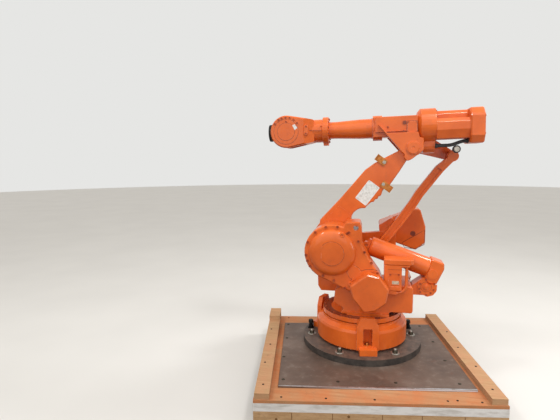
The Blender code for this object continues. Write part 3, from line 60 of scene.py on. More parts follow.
PHOTO_WIDTH = 560
FOCAL_PIXELS = 424.54
SENSOR_MM = 36
CAMERA_PLACE = Vector((-0.0498, 3.1621, 1.5457))
CAMERA_YAW = math.radians(-12.03)
CAMERA_PITCH = math.radians(-6.72)
CAMERA_ROLL = math.radians(-0.41)


def place_camera():
    """The camera that took the photo, fitted to the joints that show in it."""
    ahead = Vector((-math.sin(CAMERA_YAW) * math.cos(CAMERA_PITCH),
                    -math.cos(CAMERA_YAW) * math.cos(CAMERA_PITCH), math.sin(CAMERA_PITCH)))
    level = ahead.cross(Vector((0, 0, 1))).normalized()
    above = level.cross(ahead)
    right = level * math.cos(CAMERA_ROLL) + above * math.sin(CAMERA_ROLL)
    up = above * math.cos(CAMERA_ROLL) - level * math.sin(CAMERA_ROLL)
    data = bpy.data.cameras.new("camera")
    data.sensor_width = SENSOR_MM
    data.lens = FOCAL_PIXELS / PHOTO_WIDTH * SENSOR_MM
    camera = bpy.data.objects.new("camera", data)
    turn = Matrix((right, up, -ahead)).transposed().to_4x4()
    camera.matrix_world = Matrix.Translation(CAMERA_PLACE) @ turn
    bpy.context.collection.objects.link(camera)
    bpy.context.scene.camera = camera


place_camera()


# Materials

def linear(code, alpha=1.0):
    """An sRGB hex colour as the linear values that a shader takes."""
    parts = [int(code[i:i + 2], 16) / 255 for i in (1, 3, 5)]
    return (*[c / 12.92 if c <= 0.04045 else ((c + 0.055) / 1.055) ** 2.4 for c in parts], alpha)


def add(tree, kind, settings=(), give=0, **inputs):
    """A node of that kind, and the output it gives.

    Settings are the node's own, a colour ramp's stops among them. Each input, by its name or by i and its
    number, takes another node's output, a hex colour or a plain value.
    """
    node = tree.nodes.new("ShaderNode" + kind)
    for name, value in dict(settings).items():
        if name != "stops":
            setattr(node, name, value)
            continue
        band = node.color_ramp.elements
        while len(band) < len(value):
            band.new(0.5)
        for stop, (place, tone) in zip(band, value):
            stop.position = place
            stop.color = linear(tone) if isinstance(tone, str) else (tone, tone, tone, 1)
    for name, source in inputs.items():
        socket = node.inputs[int(name[1:]) if name[1:].isdigit() else name.replace("_", " ")]
        if isinstance(source, bpy.types.NodeSocket):
            tree.links.new(source, socket)
        else:
            socket.default_value = linear(source) if isinstance(source, str) else source
    return node.outputs[give]


def new_material(name, **base):
    """A material with one principled shader, whose plain sockets take the given values."""
    made = bpy.data.materials.new(name)
    made.use_nodes = True
    tree = made.node_tree
    shader = tree.nodes["Principled BSDF"]
    for socket, value in base.items():
        shader.inputs[socket.replace("_", " ")].default_value = value
    return made, tree, shader


def connect(tree, shader, **sources):
    """Links each source to the shader's socket of that name."""
    for socket, source in sources.items():
        tree.links.new(source, shader.inputs[socket.replace("_", " ")])


COLOURS = {"data_type": "RGBA"}
MULTIPLY = {"operation": "MULTIPLY"}
MAXIMUM = {"operation": "MAXIMUM"}


def object_space(tree, turn=0.0, stretch=(1, 1, 1)):
    """Places on the part in metres, turned about the vertical and stretched along the grain."""
    return add(tree, "Mapping", Vector=add(tree, "TexCoord", give="Object"), Rotation=(0, 0, turn), Scale=stretch)


def patches(tree, place, size_mm, *stops, detail=3, rough=0.55):
    """Soft patches of about that size, coloured or shaded by their stops."""
    cloud = add(tree, "TexNoise", Vector=place, Scale=1 / (size_mm * MM), Detail=detail, Roughness=rough)
    return add(tree, "ValToRGB", {"stops": stops}, Fac=cloud)


def stained(tree, place, under, tone, size_mm, *stops, detail=5, rough=0.65):
    """A colour with another laid over it in patches of about that size."""
    share = patches(tree, place, size_mm, *stops, detail=detail, rough=rough)
    return add(tree, "Mix", COLOURS, give=2, i0=share, i6=under, i7=tone)


def drifting(tree, place, size_mm, low, high, detail=3):
    """A value that drifts from low to high over patches of about that size."""
    cloud = add(tree, "TexNoise", Vector=place, Scale=1 / (size_mm * MM), Detail=detail, Roughness=0.55)
    return add(tree, "MapRange", Value=cloud, To_Min=low, To_Max=high)


def uneven(tree, place, size_mm, strength, depth_mm, detail=3, rough=0.55):
    """The slope of a surface with humps of about that size and depth."""
    cloud = add(tree, "TexNoise", Vector=place, Scale=1 / (size_mm * MM), Detail=detail, Roughness=rough)
    return add(tree, "Bump", Height=cloud, Strength=strength, Distance=depth_mm * MM)


def worn_and_lit_edges(tree, radius_mm):
    """One on corners sharper than the radius and nought on open faces."""
    soft = add(tree, "Bevel", {"samples": 4}, Radius=radius_mm * MM)
    plain = add(tree, "NewGeometry", give="Normal")
    near = add(tree, "VectorMath", {"operation": "DOT_PRODUCT"}, give="Value", i0=soft, i1=plain)
    return add(tree, "ValToRGB", {"stops": ((0.86, 1.0), (0.99, 0.0))}, Fac=near)


def sprayed_enamel(name="sprayed_enamel", face="#E26A24", deep="#D05C1C", chip="#8A4526", lit_worn_rim="#F0A27C"):
    """Semi-gloss enamel sprayed on sand castings: soft colour patches, sharp corners lighter in patches (part rubbed
    paint and part painted highlight) and thin grime.

    The sand's grain is under a millimetre, so it is drawn at 7 mm, where it shows as a faint unevenness.
    """
    made, tree, shader = new_material(name, IOR=1.45, Specular_IOR_Level=0.20, Coat_Weight=0.45,
                                      Coat_Roughness=0.12)
    place = object_space(tree)
    coat = patches(tree, place, 160, (0.35, deep), (0.68, face), detail=4)
    rubbed = stained(tree, place, coat, chip, 28, (0.60, 0.0), (0.70, 0.5), rough=0.7)
    faded = add(tree, "Mix", COLOURS, give=2, i0=0.35, i6=coat, i7=rubbed)
    # Sharp corners take the lighter rim colour in patches: part rubbed paint, part painted highlight.
    lit_worn_corners = add(tree, "Math", MULTIPLY, i0=worn_and_lit_edges(tree, 3),
                  i1=patches(tree, place, 22, (0.45, 0.0), (0.62, 1.0), detail=4))
    colour = add(tree, "Mix", COLOURS, give=2, i0=lit_worn_corners, i6=faded, i7=lit_worn_rim)
    colour = stained(tree, place, colour, "#A4512C", 55, (0.58, 0.0), (0.82, 0.45))
    connect(tree, shader, Base_Color=colour, Roughness=drifting(tree, place, 90, 0.34, 0.52),
            Normal=uneven(tree, place, 7, 0.22, 0.8, detail=4, rough=0.6))
    return made


def sawn_timber(name, light, dark, stain=None, turn=0.0, grain_mm=14):
    """Rough sawn softwood: long streaks of grain, a soiled face and, on some boards, a stain.

    The fibres are finer than half a millimetre, so they are drawn 3 mm wide, where they show.
    """
    made, tree, shader = new_material(name, Roughness=0.82, IOR=1.45)
    plain = object_space(tree, turn)
    streaks = patches(tree, object_space(tree, turn, (0.05, 1, 1)), grain_mm, (0.30, dark), (0.66, light),
                      detail=6, rough=0.65)
    fibres = add(tree, "TexNoise", Vector=object_space(tree, turn, (0.12, 1, 1)), Scale=1 / (3 * MM),
                 Detail=4, Roughness=0.7)
    tones = add(tree, "ValToRGB", {"stops": ((0.35, dark), (0.7, light))}, Fac=fibres)
    colour = add(tree, "Mix", COLOURS, give=2, i0=0.35, i6=streaks, i7=tones)
    if stain:
        colour = stained(tree, plain, colour, stain, 130, (0.36, 0.0), (0.66, 0.75), rough=0.6)
    colour = stained(tree, plain, colour, "#6E5138", 45, (0.60, 0.0), (0.80, 0.55), detail=6, rough=0.7)
    connect(tree, shader, Base_Color=colour,
            Normal=add(tree, "Bump", Height=fibres, Strength=0.5, Distance=1.2 * MM))
    return made


def painted_board(name="painted_board"):
    """White paint rolled on a sawn board: off-white, with scuffs along the grain that show the grey below.

    The roller's stipple is about 1 mm and is drawn at 5 mm, where it shows.
    """
    made, tree, shader = new_material(name, Roughness=0.6, IOR=1.5)
    place = object_space(tree, -SKID_TURN, (0.15, 1, 1))
    colour = patches(tree, place, 35, (0.30, "#B9B2AA"), (0.55, "#E2DEDA"), detail=5, rough=0.65)
    connect(tree, shader, Base_Color=colour, Normal=uneven(tree, place, 5, 0.3, 0.8, detail=4))
    return made


def rolled_sheet(name="rolled_sheet"):
    """Hot-rolled steel sheet: brown mill scale with pale dust and rust blooms, and near-white on faces that point
    +Y, fading out towards +X.

    The clouds are as wide as the mill's cooling marks, a hand or two; the dust lies in smaller patches.
    """
    made, tree, shader = new_material(name, Metallic=0.35)
    place = object_space(tree, -SKID_TURN)
    colour = patches(tree, place, 240, (0.30, "#55443B"), (0.52, "#6A564A"), (0.72, "#7A675B"), detail=6,
                     rough=0.62)
    colour = stained(tree, place, colour, "#94877B", 60, (0.54, 0.0), (0.78, 0.5), detail=7, rough=0.72)
    colour = stained(tree, place, colour, "#6E4530", 95, (0.62, 0.0), (0.74, 0.55), rough=0.6)
    # Faces that point +Y turn near-white, fading out towards +X.
    outward = add(tree, "SeparateXYZ", give="Y", Vector=add(tree, "NewGeometry", give="Normal"))
    front = add(tree, "ValToRGB", {"stops": ((0.80, 0.0), (0.90, 1.0))}, Fac=outward)
    x_fade = add(tree, "MapRange", Value=add(tree, "SeparateXYZ", give="X", Vector=place), From_Min=0.45,
                From_Max=-0.05)
    bright = add(tree, "Math", MULTIPLY, i0=front, i1=x_fade)
    colour = add(tree, "Mix", COLOURS, give=2, i0=bright, i6=colour, i7="#D4D8E0")
    connect(tree, shader, Base_Color=colour, Roughness=drifting(tree, place, 70, 0.38, 0.62, detail=4),
            Normal=uneven(tree, place, 12, 0.15, 0.5, detail=5))
    return made


def scaled_plate(name="scaled_plate"):
    """Flame-cut plate: dark scale, and lighter brown in patches on faces that point up, so the top is lighter than
    the rim.

    The cut's drag lines, about 1 mm apart, are too fine to show and are left to the 10 mm unevenness.
    """
    made, tree, shader = new_material(name, Metallic=0.3)
    place = object_space(tree)
    dark = patches(tree, place, 80, (0.32, "#2B2826"), (0.60, "#4C4540"), detail=6, rough=0.65)
    # Faces that point up turn lighter brown in patches; the others stay dark.
    upward = add(tree, "SeparateXYZ", give="Z", Vector=add(tree, "NewGeometry", give="Normal"))
    above = add(tree, "ValToRGB", {"stops": ((0.5, 0.0), (0.9, 1.0))}, Fac=upward)
    up_face_patches = patches(tree, place, 45, (0.42, 0.25), (0.72, 0.85), detail=6, rough=0.7)
    colour = add(tree, "Mix", COLOURS, give=2, i0=add(tree, "Math", MULTIPLY, i0=above, i1=up_face_patches), i6=dark,
                 i7="#7C6556")
    connect(tree, shader, Base_Color=colour, Roughness=drifting(tree, place, 50, 0.42, 0.65, detail=4),
            Normal=uneven(tree, place, 10, 0.25, 0.8, detail=5))
    return made


def plated_steel(name, light, dark, roughness, patch_mm=18):
    """Bare or plated steel: a metal whose tone and sheen drift with handling.

    Its spangle and tool marks are under a millimetre and are drawn at 3 mm.
    """
    made, tree, shader = new_material(name, Metallic=0.9)
    place = object_space(tree)
    sheen = drifting(tree, place, patch_mm / 3, roughness - 0.08, roughness + 0.12, detail=4)
    connect(tree, shader, Roughness=sheen, Normal=uneven(tree, place, 3, 0.12, 0.3),
            Base_Color=patches(tree, place, patch_mm, (0.32, dark), (0.66, light), detail=5, rough=0.65))
    return made


def moulded_rubber(name="moulded_rubber", face="#1B1B1D"):
    """Moulded black rubber: dull, with a dusty bloom; its fine texture is drawn at 2 mm."""
    made, tree, shader = new_material(name, IOR=1.5, Specular_IOR_Level=0.4)
    place = object_space(tree)
    connect(tree, shader, Base_Color=patches(tree, place, 25, (0.40, face), (0.75, "#3A3937"), detail=5),
            Roughness=drifting(tree, place, 12, 0.5, 0.75), Normal=uneven(tree, place, 2, 0.2, 0.3))
    return made


def printed_film(name, face, worn):
    """Bare plastic film: smooth, evenly dull and slightly soiled."""
    made, tree, shader = new_material(name, IOR=1.46, Roughness=0.42)
    place = object_space(tree)
    colour = patches(tree, place, 18, (0.35, worn), (0.58, face), detail=5, rough=0.65)
    connect(tree, shader, Base_Color=colour, Normal=uneven(tree, place, 9, 0.08, 0.3, detail=2))
    return made


enamel = sprayed_enamel()
# Darker enamel for screws, plugs and dowels: part dirt, part painted shade in and around their sockets.
soiled_shaded_screw_enamel = sprayed_enamel("enamel_on_screws_soiled_and_shaded", "#B24A20", "#923A18", "#4A1E10", "#C8683E")
# Darker enamel: dark grime at joints, and painted shade on lines at steps, in the counterweight's hole and on the
# flange under the housing.
grime_and_shade_enamel = sprayed_enamel("enamel_grime_and_painted_shade", "#8C3E1E", "#742E15", "#46200F", "#9C4A26")
timber_along = sawn_timber("sawn_pine_along", "#CBA77E", "#A27A50", turn=-SKID_TURN)
timber_across = sawn_timber("sawn_pine_across", "#C6A27A", "#9E774E", "#C08A66", math.pi / 2 - SKID_TURN)
deck_ply = sawn_timber("sheathing_ply", "#C09066", "#A06C46", "#C07040", -SKID_TURN, 22)
timber_shade = sawn_timber("end_grain_and_knots", "#8A6238", "#5E4022")
white_board = painted_board()
sheet_steel = rolled_sheet()
plate_steel = scaled_plate()
yellow_zinc = plated_steel("yellow_zinc_plate", "#C07C42", "#8E5628", 0.45)
pale_zinc = plated_steel("washer_zinc", "#B8B2A8", "#8C867C", 0.48, 12)
dark_zinc = plated_steel("weathered_zinc", "#5E5648", "#35302A", 0.48, 8)
near_white_steel = plated_steel("near_white_strip_steel", "#D9DCE2", "#9A9690", 0.30, 40)
black_bolt = plated_steel("black_oxide_bolt", "#2E2C2A", "#1A1918", 0.50, 8)
rubber = moulded_rubber()
pale_film = printed_film("pale_film", "#E6E6E2", "#C9C8C2")
pale_plate = printed_film("etched_plate", "#CDBBA2", "#A8957E")

FINISHES = {"bearer_rear": timber_along, "bearer_middle": timber_along, "bearer_front": timber_along,
            "rail_rear": timber_along, "rail_middle": timber_along, "rail_front": white_board,
            "skid_deck": deck_ply, "batten_right": timber_across, "batten_left": timber_across,
            "deck_block": timber_across, "steel_deck_sheet": sheet_steel, "floor_plate": plate_steel,
            "upper_hose_bracket": yellow_zinc, "lower_hose_bracket": yellow_zinc,
            "motor_hose": rubber, "hose_connector": rubber, "tool_flange": black_bolt,
            "crank_pin": black_bolt}

for name, node in nodes.items():
    for place in node.material_slots:
        place.material = FINISHES.get(name, enamel)


# Making pieces

def piece(name, mesh, finish, body, angle_deg=35):
    """An object from a mesh, riding on a body, with the finish of a slot."""
    data = bpy.data.meshes.new(name)
    bmesh.ops.recalc_face_normals(mesh, faces=mesh.faces[:])
    mesh.to_mesh(data)
    mesh.free()
    data.materials.append(finish)
    for face in data.polygons:
        face.use_smooth = True
    data.set_sharp_from_angle(angle=math.radians(angle_deg))
    made = bpy.data.objects.new(name, data)
    bpy.context.collection.objects.link(made)
    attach(made, body)
    return made


# Rings of a fastener: share of its radius, share of its height, and whether the ring is a hexagon
SOCKET_HEAD = ((1.0, 0.0, 0), (1.0, 0.82, 0), (0.9, 1.0, 0), (0.56, 1.0, 1), (0.52, 0.45, 1))
HEX_HEAD = ((1.3, 0.0, 0), (1.3, 0.14, 0), (1.25, 0.18, 0), (1.0, 0.18, 1), (1.0, 0.88, 1), (0.84, 1.0, 0))
ROUND_PLUG = ((1.0, 0.0, 0), (1.0, 0.45, 0), (0.86, 0.8, 0), (0.5, 0.86, 0), (0.42, 0.4, 1))
PLAIN_HEX = ((1.0, 0.0, 1), (1.0, 0.86, 1), (0.84, 1.0, 0))
LOW_BOSS = ((1.0, 0.0, 0), (0.96, 0.7, 0), (0.86, 1.0, 0), (0.5, 1.0, 0), (0.44, 0.5, 0))
RING_POINTS = 24
SEAM_RISE = 0.0006


def stand_on(place, way):
    """The frame of something standing at a place and pointing a way."""
    return Matrix.Translation(place) @ Vector(way).to_track_quat("Z", "Y").to_matrix().to_4x4()


def close_rings(mesh, loops):
    """Equal rings of points joined by faces, with a face at each end."""
    for low, high in zip(loops, loops[1:]):
        for k in range(len(low)):
            mesh.faces.new((low[k - 1], low[k], high[k], high[k - 1]))
    mesh.faces.new(loops[0])
    mesh.faces.new(loops[-1])


def add_rings(mesh, stand, radius, height, rings):
    """Rings of points joined into one closed solid; a hexagon's corners lie on its radius."""
    loops = []
    for share, level, six in rings:
        loop = []
        for k in range(RING_POINTS):
            turn = math.tau * k / RING_POINTS
            flat = math.cos(math.pi / 6) / math.cos((turn % (math.pi / 3)) - math.pi / 6) if six else 1
            reach = radius * share * flat
            loop.append(mesh.verts.new(stand @ Vector((reach * math.cos(turn), reach * math.sin(turn),
                                                       height * level))))
        loops.append(loop)
    close_rings(mesh, loops)


def bolts(name, body, places, way, radius_mm, height_mm, rings=SOCKET_HEAD, finish=None):
    """Equal fasteners on one face, made as one piece."""
    mesh = bmesh.new()
    for place in places:
        add_rings(mesh, stand_on(place, way), radius_mm * MM, height_mm * MM, rings)
    return piece(name, mesh, finish or enamel, body)


def on_ring(centre, radius, angles_deg, normal_y):
    """Places round a circle that lies across the Y axis."""
    return [(centre.x + radius * math.cos(math.radians(a)), normal_y,
             centre.z + radius * math.sin(math.radians(a))) for a in angles_deg]


def add_slab(mesh, frame_matrix, outline, near, far, bevel=0.0):
    """A flat plate: an outline in X and Z carried from one Y to another, with its outer edges eased."""
    low = [mesh.verts.new(frame_matrix @ Vector((x, near, z))) for x, z in outline]
    high = [mesh.verts.new(frame_matrix @ Vector((x, far, z))) for x, z in outline]
    count = len(outline)
    faces = [mesh.faces.new(low), mesh.faces.new(high[::-1])]
    for k in range(count):
        faces.append(mesh.faces.new((low[k - 1], high[k - 1], high[k], low[k])))
    if bevel:
        edges = list(faces[1].edges)
        bmesh.ops.bevel(mesh, geom=edges, offset=bevel, segments=2, affect="EDGES")


def place_all(carrier, points):
    """Places given in a carrier's own frame, in world metres."""
    return [carrier @ Vector(point) for point in points]


def slab(name, body, outline, near, far, carrier=None, finish=None, bevel_mm=1.0):
    """One flat plate with eased front edges, drawn in X and Z on its carrier."""
    mesh = bmesh.new()
    add_slab(mesh, carrier or Matrix.Identity(4), outline, near, far, bevel_mm * MM)
    return piece(name, mesh, finish or enamel, body)


def box_outline(x_low, x_high, z_low, z_high, corner):
    """A rectangle with its corners cut."""
    c = corner
    return [(x_low + c, z_low), (x_high - c, z_low), (x_high, z_low + c), (x_high, z_high - c),
            (x_high - c, z_high), (x_low + c, z_high), (x_low, z_high - c), (x_low, z_low + c)]


def seam_and_shadow_line(name, body, points, face, closed=False, width_mm=2.0, carrier=None, finish=None):
    """A thin dark line on a face: painted shadow where a step throws one, and dark grime where two castings meet."""
    mesh = bmesh.new()
    stand = carrier or Matrix.Identity(4)
    stops = [Vector(point) for point in points]
    low, high = face - SEAM_RISE, face + SEAM_RISE
    loops = []
    for k, stop in enumerate(stops):
        before = stops[k - 1] if closed or k else stop
        after = stops[(k + 1) % len(stops)] if closed or k + 1 < len(stops) else stop
        ahead = (after - before).normalized() * width_mm * MM / 2
        rims = (stop.x + ahead.y, stop.y - ahead.x), (stop.x - ahead.y, stop.y + ahead.x)
        loops.append([mesh.verts.new(stand @ Vector((x, y, z)))
                      for y, order in ((low, rims), (high, rims[::-1])) for x, z in order])
    for one, other in zip(loops, loops[1:] + loops[:1] if closed else loops[1:]):
        for i in range(4):
            mesh.faces.new((one[i - 1], one[i], other[i], other[i - 1]))
    if not closed:
        mesh.faces.new(loops[0])
        mesh.faces.new(loops[-1])
    return piece(name, mesh, finish or grime_and_shade_enamel, body)


def arc(x, z, radius, start_deg, end_deg, steps=24):
    """Places in X and Z along part of a circle."""
    turns = [math.radians(start_deg + (end_deg - start_deg) * k / steps) for k in range(steps + 1)]
    return [(x + radius * math.cos(t), z + radius * math.sin(t)) for t in turns]


# Hose behind the wrist motors, on the same route as its solid

HOSE_DIAMETER = 0.024
HOSE_START = (-0.3647, 0.050, 0.036)
HOSE_ROUTE = ((-0.350, 0.050, 0.036), (-0.330, 0.050, 0.034), (-0.310, 0.050, 0.029),
              (-0.290, 0.050, 0.022), (-0.262, 0.050, 0.0135), (-0.235, 0.050, 0.010),
              (-0.200, 0.050, 0.010), (-0.165, 0.050, 0.010))
HOSE_END = (-0.1513, 0.050, 0.010)
HOSE_STEPS = 28
GLAND_RADIUS = 0.017
GLAND_LENGTH = 0.020
GLAND = ((1.0, 0.0, 1), (1.0, 0.35, 1), (0.92, 0.42, 0), (0.74, 1.0, 0))


def smooth_route(points, count):
    """Places read from one smooth curve through the route's own points."""
    stops = [Vector(point) for point in points]
    stops = [stops[0] * 2 - stops[1], *stops, stops[-1] * 2 - stops[-2]]
    spans = len(stops) - 3
    route = []
    for i in range(count + 1):
        place = min(i * spans / count, spans - 1e-9)
        k = int(place)
        t = place - k
        a, b, c, d = stops[k:k + 4]
        route.append((2 * b + (c - a) * t + (2 * a - 5 * b + 4 * c - d) * t * t
                      + (3 * b - a - 3 * c + d) * t ** 3) / 2)
    return route


def lay_hose():
    """The hose as one round line between its two glands."""
    route = place_all(upper_arm, [HOSE_START, *smooth_route(HOSE_ROUTE, HOSE_STEPS), HOSE_END])
    curve = bpy.data.curves.new("wrist_motor_hose", "CURVE")
    curve.dimensions = "3D"
    curve.bevel_depth = HOSE_DIAMETER / 2
    curve.bevel_resolution = 5
    curve.use_fill_caps = True
    line = curve.splines.new("POLY")
    line.points.add(len(route) - 1)
    for point, place in zip(line.points, route):
        point.co = (*place, 1)
    curve.materials.append(rubber)
    hose = bpy.data.objects.new("wrist_motor_hose", curve)
    bpy.context.collection.objects.link(hose)
    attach(hose, "upper_arm")
    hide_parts("motor_hose")
    glands = bmesh.new()
    for end, turn_deg in ((HOSE_START, 90), (HOSE_END, -90)):
        stand = upper_arm @ Matrix.Translation(end) @ Matrix.Rotation(math.radians(turn_deg), 4, "Y")
        add_rings(glands, stand, GLAND_RADIUS, GLAND_LENGTH, GLAND)
    gland = piece("hose_glands", glands, rubber, "upper_arm")


lay_hose()


# Fasteners, covers and lines, each on its own carrier's face

WAY_LEFT = (0, 1, 0)
WAY_RIGHT = (0, -1, 0)
WAY_UP = (0, 0, 1)
WAY_BACK = upper_arm.to_3x3() @ Vector((-1, 0, 0))
BEHIND = (-1, 0, 0)

# Where the faces lie, in metres
GEAR_FACE = 0.270
RIGHT_GEAR_FACE = -0.325
MOTOR_1_FACE = 0.247
MOTOR_1_LID_FACE = 0.250
MOTOR_3_FACE = -0.475
KNUCKLE_FACE = 0.123
KNUCKLE_BOSS_FACE = 0.131
DISC_FACE = 0.104
DISC_RING_RISE = 0.0015
WRIST_FLAT = 0.087
ARM_FACE = 0.088
STRAP_FACE = 0.0943
HOUSE_FACE = 0.1024
HOUSE_COVER_LOW = 0.098
HOUSE_COVER_FACE = 0.112
ELBOW_CAP_FACE = 0.134
EAR_FACE = -0.205
WEIGHT_FACE = -0.3453
WEIGHT_BACK = -0.4752
HATCH_FACE = 0.3515
HATCH_RISE = 0.004
PLATE_TOP = 0.2262
FOOT_TOP = 0.2765
FLANGE_TOP = 0.4475
DECK_TOP = 0.169
SHEET_TOP = 0.1812
BATTEN_TOP = 0.2069
SKID_FRONT = 0.668
WRIST_FLANGE_BACK = 0.5795
REAR_CAP_BACK = -0.4548
DRUM_BACK = -0.1545

# Where the axes lie
AXIS_4_RISE = 0.150
MOTOR_2_CENTRE = (-0.062, 0.6567)
KNUCKLE = Vector((-0.445, 0, 0.6545))

# The hub's dome, on the profile of its solid
HUB_RADIUS = 0.162
HUB_RISE = 0.036
HUB_DISC = 0.082
HUB_DISC_RISE = 0.004
HUB_FLAT = 0.072
HUB_SIDES = 96
HUB_SHARES = ((1.0, 0.0), (0.985, 0.26), (0.93, 0.56), (0.84, 0.80), (0.72, 0.94), (0.58, 1.0))

# Rings of the larger fasteners and plugs
WASHER = ((1.0, 0.0, 0), (1.0, 0.7, 0), (0.96, 1.0, 0))
STUD = ((1.0, 0.0, 0), (1.0, 0.8, 0), (0.85, 1.0, 0))
JACKING_BOLT = ((1.45, 0.0, 0), (1.45, 0.06, 0), (1.0, 0.07, 1), (1.0, 0.34, 1), (0.8, 0.36, 0), (0.8, 0.60, 0),
                (1.1, 0.62, 1), (1.0, 0.96, 1), (0.86, 1.0, 0))
CONNECTOR = ((1.0, 0.0, 0), (1.0, 0.5, 0), (0.9, 1.0, 0), (0.45, 0.85, 0), (0.40, 0.4, 0))
ELBOW_CAP = ((1.0, 0.0, 0), (0.98, 0.7, 0), (0.94, 1.0, 0), (0.30, 1.0, 0), (0.26, 0.4, 0))
OPEN_HOLE = ((1.0, 0.0, 0), (1.0, 0.6, 0), (0.94, 1.0, 0), (0.84, 1.0, 0), (0.80, 0.1, 0))
SHEET_SCREW = ((1.0, 0.0, 0), (1.0, 0.5, 0), (0.86, 1.0, 0), (0.46, 1.0, 1), (0.42, 0.3, 1))
WOOD_SCREW = ((1.0, 0.0, 0), (0.9, 1.0, 0), (0.46, 1.0, 1), (0.42, 0.3, 1))
KNOT = ((1.0, 0.0, 0), (0.9, 0.8, 0), (0.4, 1.0, 0), (0.36, 0.7, 0))
FLANGE_SHADE_RING = ((1.0, 0.0, 0), (1.0, 0.8, 0), (0.99, 1.0, 0), (0.80, 1.0, 0), (0.79, 0.0, 0))


def round_base(radius, angles_deg, z):
    """Places round the base's own axis."""
    return [(radius * math.cos(math.radians(a)), radius * math.sin(math.radians(a)), z) for a in angles_deg]


def on_end(x, spots):
    """Places on a face that lies across the fourth axis, given from that axis."""
    return place_all(upper_arm, [(x, u, AXIS_4_RISE + v) for u, v in spots])


def screws(name, body, places, way, radius_mm, height_mm):
    """Socket screws that were sprayed over with the casting, in a darker enamel that is part dirt and part painted
    shade.
    """
    bolts(name, body, places, way, radius_mm, height_mm, finish=soiled_shaded_screw_enamel)


def steel_screws(name, places, radius_mm, height_mm, rings, finish, way=WAY_UP):
    """Fasteners of the skid and the plate, in bare or plated steel."""
    bolts(name, "stand_and_base", places, way, radius_mm, height_mm, rings, finish)


def circle_line(name, body, centre, radius, face, steps=63):
    """A closed round line on a face across the Y axis."""
    seam_and_shadow_line(name, body, arc(centre.x, centre.z, radius, 0, 360, steps)[:-1], face, closed=True)


# Hose connector
bolts("connector_face", "upper_arm", place_all(upper_arm, [(-0.290, 0.067, -0.0183)]), WAY_LEFT, 18.5, 3.5,
      CONNECTOR, pale_zinc)

# Left gear case
gear_bolts = on_ring(SHOULDER, 0.184, (76, 101, 128, 50, 22, -7, -20, -33), GEAR_FACE)
gear_bolts += [(x, GEAR_FACE, z) for x, z in ((0.098, 1.045), (0.023, 0.992), (-0.019, 0.919), (-0.066, 0.846),
                                              (-0.108, 0.776), (-0.112, 0.714), (0.186, 0.712),
                                              (0.109, 0.662), (0.262, 0.742))]
screws("gear_cover_bolts", "turntable", gear_bolts, WAY_LEFT, 9.5, 9)
bolts("gear_cover_boss", "turntable", [(0.132, GEAR_FACE + 0.020, 1.034)], WAY_LEFT, 19, 12, LOW_BOSS)
bolts("gear_cover_boss_low", "turntable", [(0.072, GEAR_FACE, 0.694)], WAY_LEFT, 17, 12, LOW_BOSS)
bolts("gear_cover_plug", "turntable", [(0.322, GEAR_FACE, 0.838)], WAY_LEFT, 20, 14, ROUND_PLUG)
web_outline = [(0.068, 0.834), (0.018, 0.806), (-0.024, 0.752), (0.030, 0.722), (0.078, 0.733), (0.098, 0.772)]
slab("gear_cover_web", "turntable", web_outline, GEAR_FACE - 0.002, GEAR_FACE + 0.005, bevel_mm=2.5)
seam_and_shadow_line("gear_cover_web_line", "turntable", web_outline, GEAR_FACE, closed=True, width_mm=5)


def turn_hub():
    """The hub's spun dome with its flat-sided disc, on the profile of its solid but without facets."""
    mesh = bmesh.new()
    stand = stand_on((SHOULDER.x, GEAR_FACE, SHOULDER.z), WAY_LEFT)
    rounded = [(point.x, point.y) for point in smooth_route([(u, v, 0) for u, v in HUB_SHARES], 30)]
    loops = []
    for u, v in [(1.0, -0.02), *rounded, (0.02, 1.002)]:
        loops.append([mesh.verts.new(stand @ Vector((HUB_RADIUS * u * math.cos(math.tau * k / HUB_SIDES),
                                                     HUB_RADIUS * u * math.sin(math.tau * k / HUB_SIDES),
                                                     HUB_RISE * v))) for k in range(HUB_SIDES)])
    close_rings(mesh, loops)
    reach = math.degrees(math.acos(HUB_FLAT / HUB_DISC))
    add_slab(mesh, Matrix.Identity(4), arc(SHOULDER.x, SHOULDER.z, HUB_DISC, reach, 360 - reach, 60),
             GEAR_FACE + HUB_RISE - 0.001, GEAR_FACE + HUB_RISE + HUB_DISC_RISE, 1.2 * MM)
    dome = piece("hub_dome", mesh, enamel, "turntable")
    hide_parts("left_hub_cap")


turn_hub()
seam_and_shadow_line("hub_disc_line", "turntable", arc(SHOULDER.x, SHOULDER.z, HUB_DISC + 0.0015, 40, 320, 50), GEAR_FACE + HUB_RISE)
slab("motor_2_step", "turntable", arc(*MOTOR_2_CENTRE, 0.142, 22, 104), GEAR_FACE - 0.001, GEAR_FACE + 0.0065,
     bevel_mm=2)
seam_and_shadow_line("motor_2_step_line", "turntable", arc(*MOTOR_2_CENTRE, 0.144, 18, 108), GEAR_FACE, width_mm=3.5)

# Motor behind the gear case
screws("motor_1_bolts", "turntable", [(-0.194, MOTOR_1_FACE, 0.765), (-0.250, MOTOR_1_FACE, 0.766)], WAY_LEFT, 6, 5)
slab("motor_1_plate", "turntable", box_outline(-0.252, -0.206, 0.698, 0.721, 0.002), MOTOR_1_FACE,
     MOTOR_1_FACE + 0.001, finish=pale_plate, bevel_mm=0.4)
seam_and_shadow_line("motor_1_seam_high", "turntable", [(-0.300, 0.801), (-0.176, 0.801)], MOTOR_1_LID_FACE)
seam_and_shadow_line("motor_1_seam_low", "turntable", [(-0.256, 0.690), (-0.200, 0.690)], MOTOR_1_FACE)

# Knuckle that carries the balancing cylinder
knuckle_spots = ((0.040, 0.022), (0.002, 0.055), (0.044, -0.014), (0.038, -0.036), (-0.002, -0.056),
                 (-0.030, -0.040), (-0.050, -0.018), (-0.054, 0.026))
screws("knuckle_bolts", "turntable", [(KNUCKLE.x + u, KNUCKLE_FACE, KNUCKLE.z + v) for u, v in knuckle_spots],
       WAY_LEFT, 7, 6)
circle_line("knuckle_line", "turntable", KNUCKLE, 0.036, KNUCKLE_FACE, 31)
bolts("knuckle_nut", "turntable", [(KNUCKLE.x, KNUCKLE_BOSS_FACE, KNUCKLE.z)], WAY_LEFT, 12, 8, HEX_HEAD)

